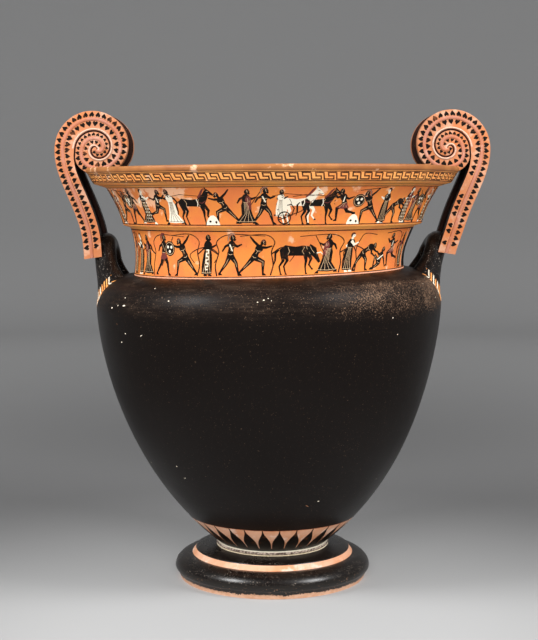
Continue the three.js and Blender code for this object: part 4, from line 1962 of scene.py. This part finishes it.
    def walk(self, row: int) -> Iterable[tuple[Vector, Vector, float, float]]:
        """Walks along one leaf row.

        Args:
            row: 0 for the outer row and 2 for the inner one.

        Yields:
            Each leaf's place, its direction of travel, its size and the room left beside it.
        """
        step, along, gone, pitch = 0.002, self.leaf_start, 0.0, 0.0
        large, small = self.leaf_sizes
        wide, close = self.leaf_pitches
        here = Vector(self.flat(along, self.rows(along)[row]))
        while along < self.leaf_end + self.last_turn:
            inward = self.rows(along)[row]
            there = Vector(self.flat(along + step, self.rows(along + step)[row]))
            gone += (there - here).length
            if gone >= pitch:
                inner = smoothstep(along, 1.75, 2.1)
                size = large + (small - large) * inner
                yield here, (there - here).normalized(), size, self.room(along) - inward
                gone, pitch = 0.0, wide + (close - wide) * inner
            here, along = there, along + step

    def build_ivy(self) -> None:
        """The ivy: a row of heart-shaped leaves on each side of both flanges' ridges."""
        heart = ((0.30, 0.0), (0.47, 0.20), (0.36, 0.44), (0.08, 0.48), (-0.20, 0.26),
                 (-0.50, 0.0))
        heart += tuple((a, -b) for a, b in heart[-2:0:-1])
        for face, title in ((-1, "front"), (1, "back")):
            slip = SlipWork(lambda spot, face=face: self.place(spot, face))
            hand = random.Random(20 + face)
            for row, out in ((0, 1), (2, -1)):
                for here, run, size, room in self.walk(row):
                    size *= hand.uniform(0.92, 1.06)
                    if room < size * 0.5 + 0.6:
                        continue
                    inward = Vector((-run.y, run.x)) * out
                    coat = Coat.LEAF if hand.random() > 0.07 else Coat.LINE
                    lean = hand.uniform(-0.22, 0.22)
                    slip.brush([tuple(here + (inward * a + run * (b * 0.92 + a * lean)) * size)
                                for a, b in heart], coat)
            slip.piece(f"{self.name}_ivy_{title}")

    def foot_place(self, spot: Vector, line: Line) -> Vector:
        """A point round the stirrup's feet.

        Args:
            spot: Arc length round both feet from their middle, the way up the stirrup, or down the
                shoulder if it is negative, and the height off the surface.
            line: The profile from the belly up over the shoulder.

        Returns:
            The point in space.
        """
        x, y, _ = self.root[0]
        foot = math.copysign(1, spot.x)
        turn = max(0.0, abs(spot.x) + y) / self.tube
        way = Vector((math.cos(turn), foot * math.sin(turn)))
        base = Vector((x, max(y, min(-y, spot.x)))) + way * self.tube
        sideways = Line([Vector((point.y, -point.x)) for point in line.points])
        reach = sideways.reach(-base.length)
        if spot.y > 0:
            out = base + way * spot.z
            return Vector((self.side * out.x, self.side * out.y, line.at(reach)[0].y + spot.y))
        point, normal = line.at(reach + spot.y * way.x)
        angle = math.atan2(base.y, base.x) - spot.y * way.y / point.x
        out = point.x + normal.x * spot.z
        return Vector((self.side * out * math.cos(angle), self.side * out * math.sin(angle),
                       point.y + normal.y * spot.z))

    def build_tongues(self, pot: Pot) -> None:
        """Short strokes of white and clay that fan out round the stirrup's feet.

        Args:
            pot: The pot it lies on.
        """
        upper_bowl = pot.bowl_line().points[44:]
        line = Line(upper_bowl + pot.shoulder_line().points[1:])
        slip = SlipWork(lambda spot: self.foot_place(spot, line), cut=3)
        hand = random.Random(5)
        reach = -self.root[0][1] + self.tube * math.radians(self.tongue_turn)
        strokes = round(2 * reach / self.tongue_pitch)
        for i in range(strokes + 1):
            x = -reach + 2 * reach * i / strokes
            up = 9.0 if abs(x) > 29 else -0.5
            rise = [(x, -9.5 + hand.uniform(-1, 1)), (x, -0.6), (x, up + hand.uniform(-0.5, 0.5))]
            coat = Coat.WHITE if i % 2 and hand.random() < 0.85 else Coat.RIM
            slip.brush(stroke(rise, self.tongue_widths), coat, 0.12)
        slip.piece(f"{self.name}_tongues")

    def build(self, pot: Pot) -> None:
        """Builds the whole handle.

        Args:
            pot: The pot it lies on.
        """
        self.build_flanges()
        self.build_core()
        self.build_ivy()
        self.build_tongues(pot)


# Wear

@dataclass(frozen=True)
class Chip:
    """A place where the slip has flaked away: where it is and how large."""

    angle: float
    height: float
    size: Spot
    tilt: float = 0.0
    coat: Coat = Coat.WHITE


WEAR = (
    Chip(-59.5, 360.0, (2.2, 1.5), 0.3), Chip(-55.7, 363.9, (1.6, 1.2)),
    Chip(-52.1, 364.9, (4.2, 1.4), 0.1), Chip(-32.4, 372.9, (1.8, 1.2)),
    Chip(-40.9, 386.2, (1.6, 0.9), 0.4), Chip(-52.9, 374.2, (1.4, 0.9)),
    Chip(-51.3, 330.0, (1.6, 1.1)), Chip(-43.3, 329.5, (3.4, 0.8), 0.5),
    Chip(-54.4, 318.1, (1.5, 1.0)), Chip(-3.3, 371.6, (1.2, 0.9)), Chip(-1.4, 373.7, (1.6, 1.0)),
    Chip(-0.1, 375.4, (1.1, 0.8)), Chip(0.9, 372.8, (0.9, 0.7)), Chip(44.0, 326.2, (1.5, 0.9)),
    Chip(41.3, 346.0, (1.3, 0.8)), Chip(23.2, 123.6, (1.6, 1.3)),
    Chip(17.9, 117.9, (3.6, 0.5), -0.6, Coat.BARE), Chip(-43.1, 164.3, (1.3, 0.9)),
    Chip(-41.3, 149.2, (1.2, 0.8)),
)


@dataclass(frozen=True)
class Wear:
    """Flaked spots and scratches on the bowl."""

    known: tuple[Chip, ...]
    strays: int = 30
    radius: float = 200.0
    seed: int = 31

    def paint(self, pot: Pot) -> None:
        """Lays down each flake as a ragged plate.

        Args:
            pot: The pot it lies on.
        """
        line = Line(pot.bowl_line().points + pot.shoulder_line().points[1:])
        slip = SlipWork(Wall(line, self.radius).place)
        hand = random.Random(self.seed)
        chips = list(self.known)
        for _ in range(self.strays):
            angle = hand.uniform(55, 305)
            height = hand.choice((hand.uniform(120, 300), hand.uniform(340, 385)))
            size = (hand.uniform(0.5, 1.8), hand.uniform(0.4, 1.0))
            tilt = hand.uniform(-1, 1)
            coat = hand.choice((Coat.WHITE, Coat.BARE, Coat.BARE))
            chips.append(Chip(angle, height, size, tilt, coat))
        for chip in chips:
            reach = line.reach(chip.height)
            point, _ = line.at(reach)
            wide = self.radius / point.x
            ragged = [(a * hand.uniform(0.45, 0.85), b * hand.uniform(0.45, 0.85))
                      for a, b in oval((0, 0), chip.size, 0, 9)]
            cos, sin = math.cos(chip.tilt), math.sin(chip.tilt)
            x = math.radians(chip.angle) * self.radius
            slip.brush([(x + (a * cos - b * sin) * wide, reach + a * sin + b * cos)
                        for a, b in ragged], chip.coat, 0.05)
        slip.piece("bowl_wear")


# The studio

@dataclass(frozen=True)
class Lamp:
    """A soft lamp that faces the pot. It shows in the gloss only if it is mirrored."""

    name: str
    spot: tuple[float, float, float]
    size: Spot
    power: float
    mirrored: bool = True
    aim: tuple[float, float, float] = (0, 0, 0.3)

    def hang(self) -> None:
        """Adds the lamp to the scene."""
        light = bpy.data.lights.new(self.name, "AREA")
        light.shape = "RECTANGLE"
        light.size, light.size_y = self.size
        light.energy = self.power
        lamp = put(self.name, light)
        lamp.location = self.spot
        way = Vector(self.aim) - lamp.location
        lamp.rotation_euler = way.to_track_quat("-Z", "Y").to_euler()
        lamp.visible_glossy = self.mirrored


@dataclass(frozen=True)
class Studio:
    """A floor with a painted pool of light round the pot, that curves up into a grey wall, soft
    lamps and the camera.
    """

    lens: float = 76.37
    eye: tuple[float, float, float] = (0.0, -1.7551, 0.49298)
    pitch: float = 2.7
    shift: Spot = (-0.00531, -0.09525)
    floor: float = 3.2
    wall: float = 5.2
    wall_top: float = 7.0
    segments: int = 64
    room_light: float = 0.34
    # Floor colours: a painted pool of light near the pot and painted shade round about it.
    near: Colour = (0.395, 0.395, 0.395)
    painted_shade_round_about: Colour = (0.160, 0.160, 0.161)
    far: Colour = (0.400, 0.400, 0.402)
    backdrop: Colour = (0.345, 0.345, 0.347)
    lamps: tuple[Lamp, ...] = (
        Lamp("left_lamp", (-1.5, -0.9, 1.95), (0.8, 0.8), 44),
        Lamp("right_lamp", (1.6, -0.9, 1.95), (0.8, 0.8), 46),
        Lamp("front_lamp", (0.0, -4.0, 1.8), (3.0, 2.0), 164, mirrored=False),
        Lamp("left_fill", (-2.8, -1.6, 1.1), (1.2, 1.6), 26, mirrored=False),
        Lamp("right_fill", (2.8, -1.6, 1.1), (1.2, 1.6), 26, mirrored=False),
    )

    def floor_material(self) -> bpy.types.Material:
        """A painted pool of light, pale under the pot, painted shade darker round about, and grey
        further out and up the wall.

        Returns:
            The material.
        """
        desk = Desk("studio_paper")
        centre = desk.node("ShaderNodeVectorMath", {"operation": "SUBTRACT"},
                           {0: desk.here, 1: (0.0, -0.25, 0.0)})
        reach = desk.node("ShaderNodeVectorMath", {"operation": "LENGTH"}, {0: centre.outputs[0]})
        away = Value(desk, reach.outputs["Value"])
        colour = desk.mix(away.step(0.16, 0.80), self.near, self.painted_shade_round_about)
        colour = desk.mix(away.step(1.0, 3.2), colour, self.far)
        colour = desk.mix(desk.height.step(0.0, 0.45), colour, self.backdrop)
        desk.dress(colour, 0.9, None, 0.1)
        return desk.material

    def lay_floor(self) -> None:
        """Spins the floor and its cove."""
        cove = self.wall - self.floor
        rise = arc((self.floor, cove), cove, cove, -math.pi / 2, 0, 16)
        line = [Vector((0, 0)), Vector((1.0, 0)), Vector((2.2, 0)), *rise,
                Vector((self.wall, self.wall_top))]
        bm = bmesh.new()
        spin(bm, line, self.segments, 1e-5)
        bmesh.ops.recalc_face_normals(bm, faces=bm.faces[:])
        if bm.faces[0].normal.z < 0:
            bmesh.ops.reverse_faces(bm, faces=bm.faces[:])
        mesh = as_mesh(bm, "studio_floor")
        mesh.materials.append(self.floor_material())
        put("studio_floor", mesh)

    def set_camera(self) -> None:
        """Sets the camera straight in front, a little below the height of the rim."""
        data = bpy.data.cameras.new("camera")
        data.lens = self.lens
        data.shift_x, data.shift_y = self.shift
        camera = put("camera", data)
        camera.location = self.eye
        camera.rotation_euler = (math.radians(90 - self.pitch), 0, 0)
        bpy.context.scene.camera = camera

    def set_up(self) -> None:
        """Lays the floor, hangs the lamps and sets the camera and the room's light."""
        self.lay_floor()
        self.set_camera()
        for lamp in self.lamps:
            lamp.hang()
        world = bpy.data.worlds.new("room")
        world.use_nodes = True
        background = world.node_tree.nodes["Background"]
        background.inputs[0].default_value = (1, 1, 1, 1)
        background.inputs[1].default_value = self.room_light
        bpy.context.scene.world = world
        bpy.context.scene.view_settings.view_transform = "Standard"


def main() -> None:
    """Builds the krater, its ornament and its wear, and sets up the studio."""
    logging.basicConfig(level=logging.INFO, format="%(name)s: %(message)s")
    pot = Pot()
    pot.throw()
    Meander().paint(pot)
    Rays().paint(pot)
    upper, lower = pot.high_neck_line(), pot.low_neck_line()
    Frieze("upper_frieze", ground=2.2, height=upper.length - 2.6, radius=199).paint(upper, UPPER)
    Frieze("lower_frieze", ground=3.4, height=lower.length - 6.4, radius=175).paint(lower, LOWER)
    SidePanels().paint(pot)
    left_band = Band(strap_rows=(4.1, 10.0, 16.6), coil_rows=(4.3, 10.2, 16.2))
    right_band = Band(strap_rows=(5.6, 11.9, 18.4), coil_rows=(4.7, 10.2, 15.4))
    Handle(-1, left_band, "left_handle").build(pot)
    Handle(1, right_band, "right_handle").build(pot)
    Wear(WEAR).paint(pot)
    Studio().set_up()


if __name__ == "__main__":
    main()
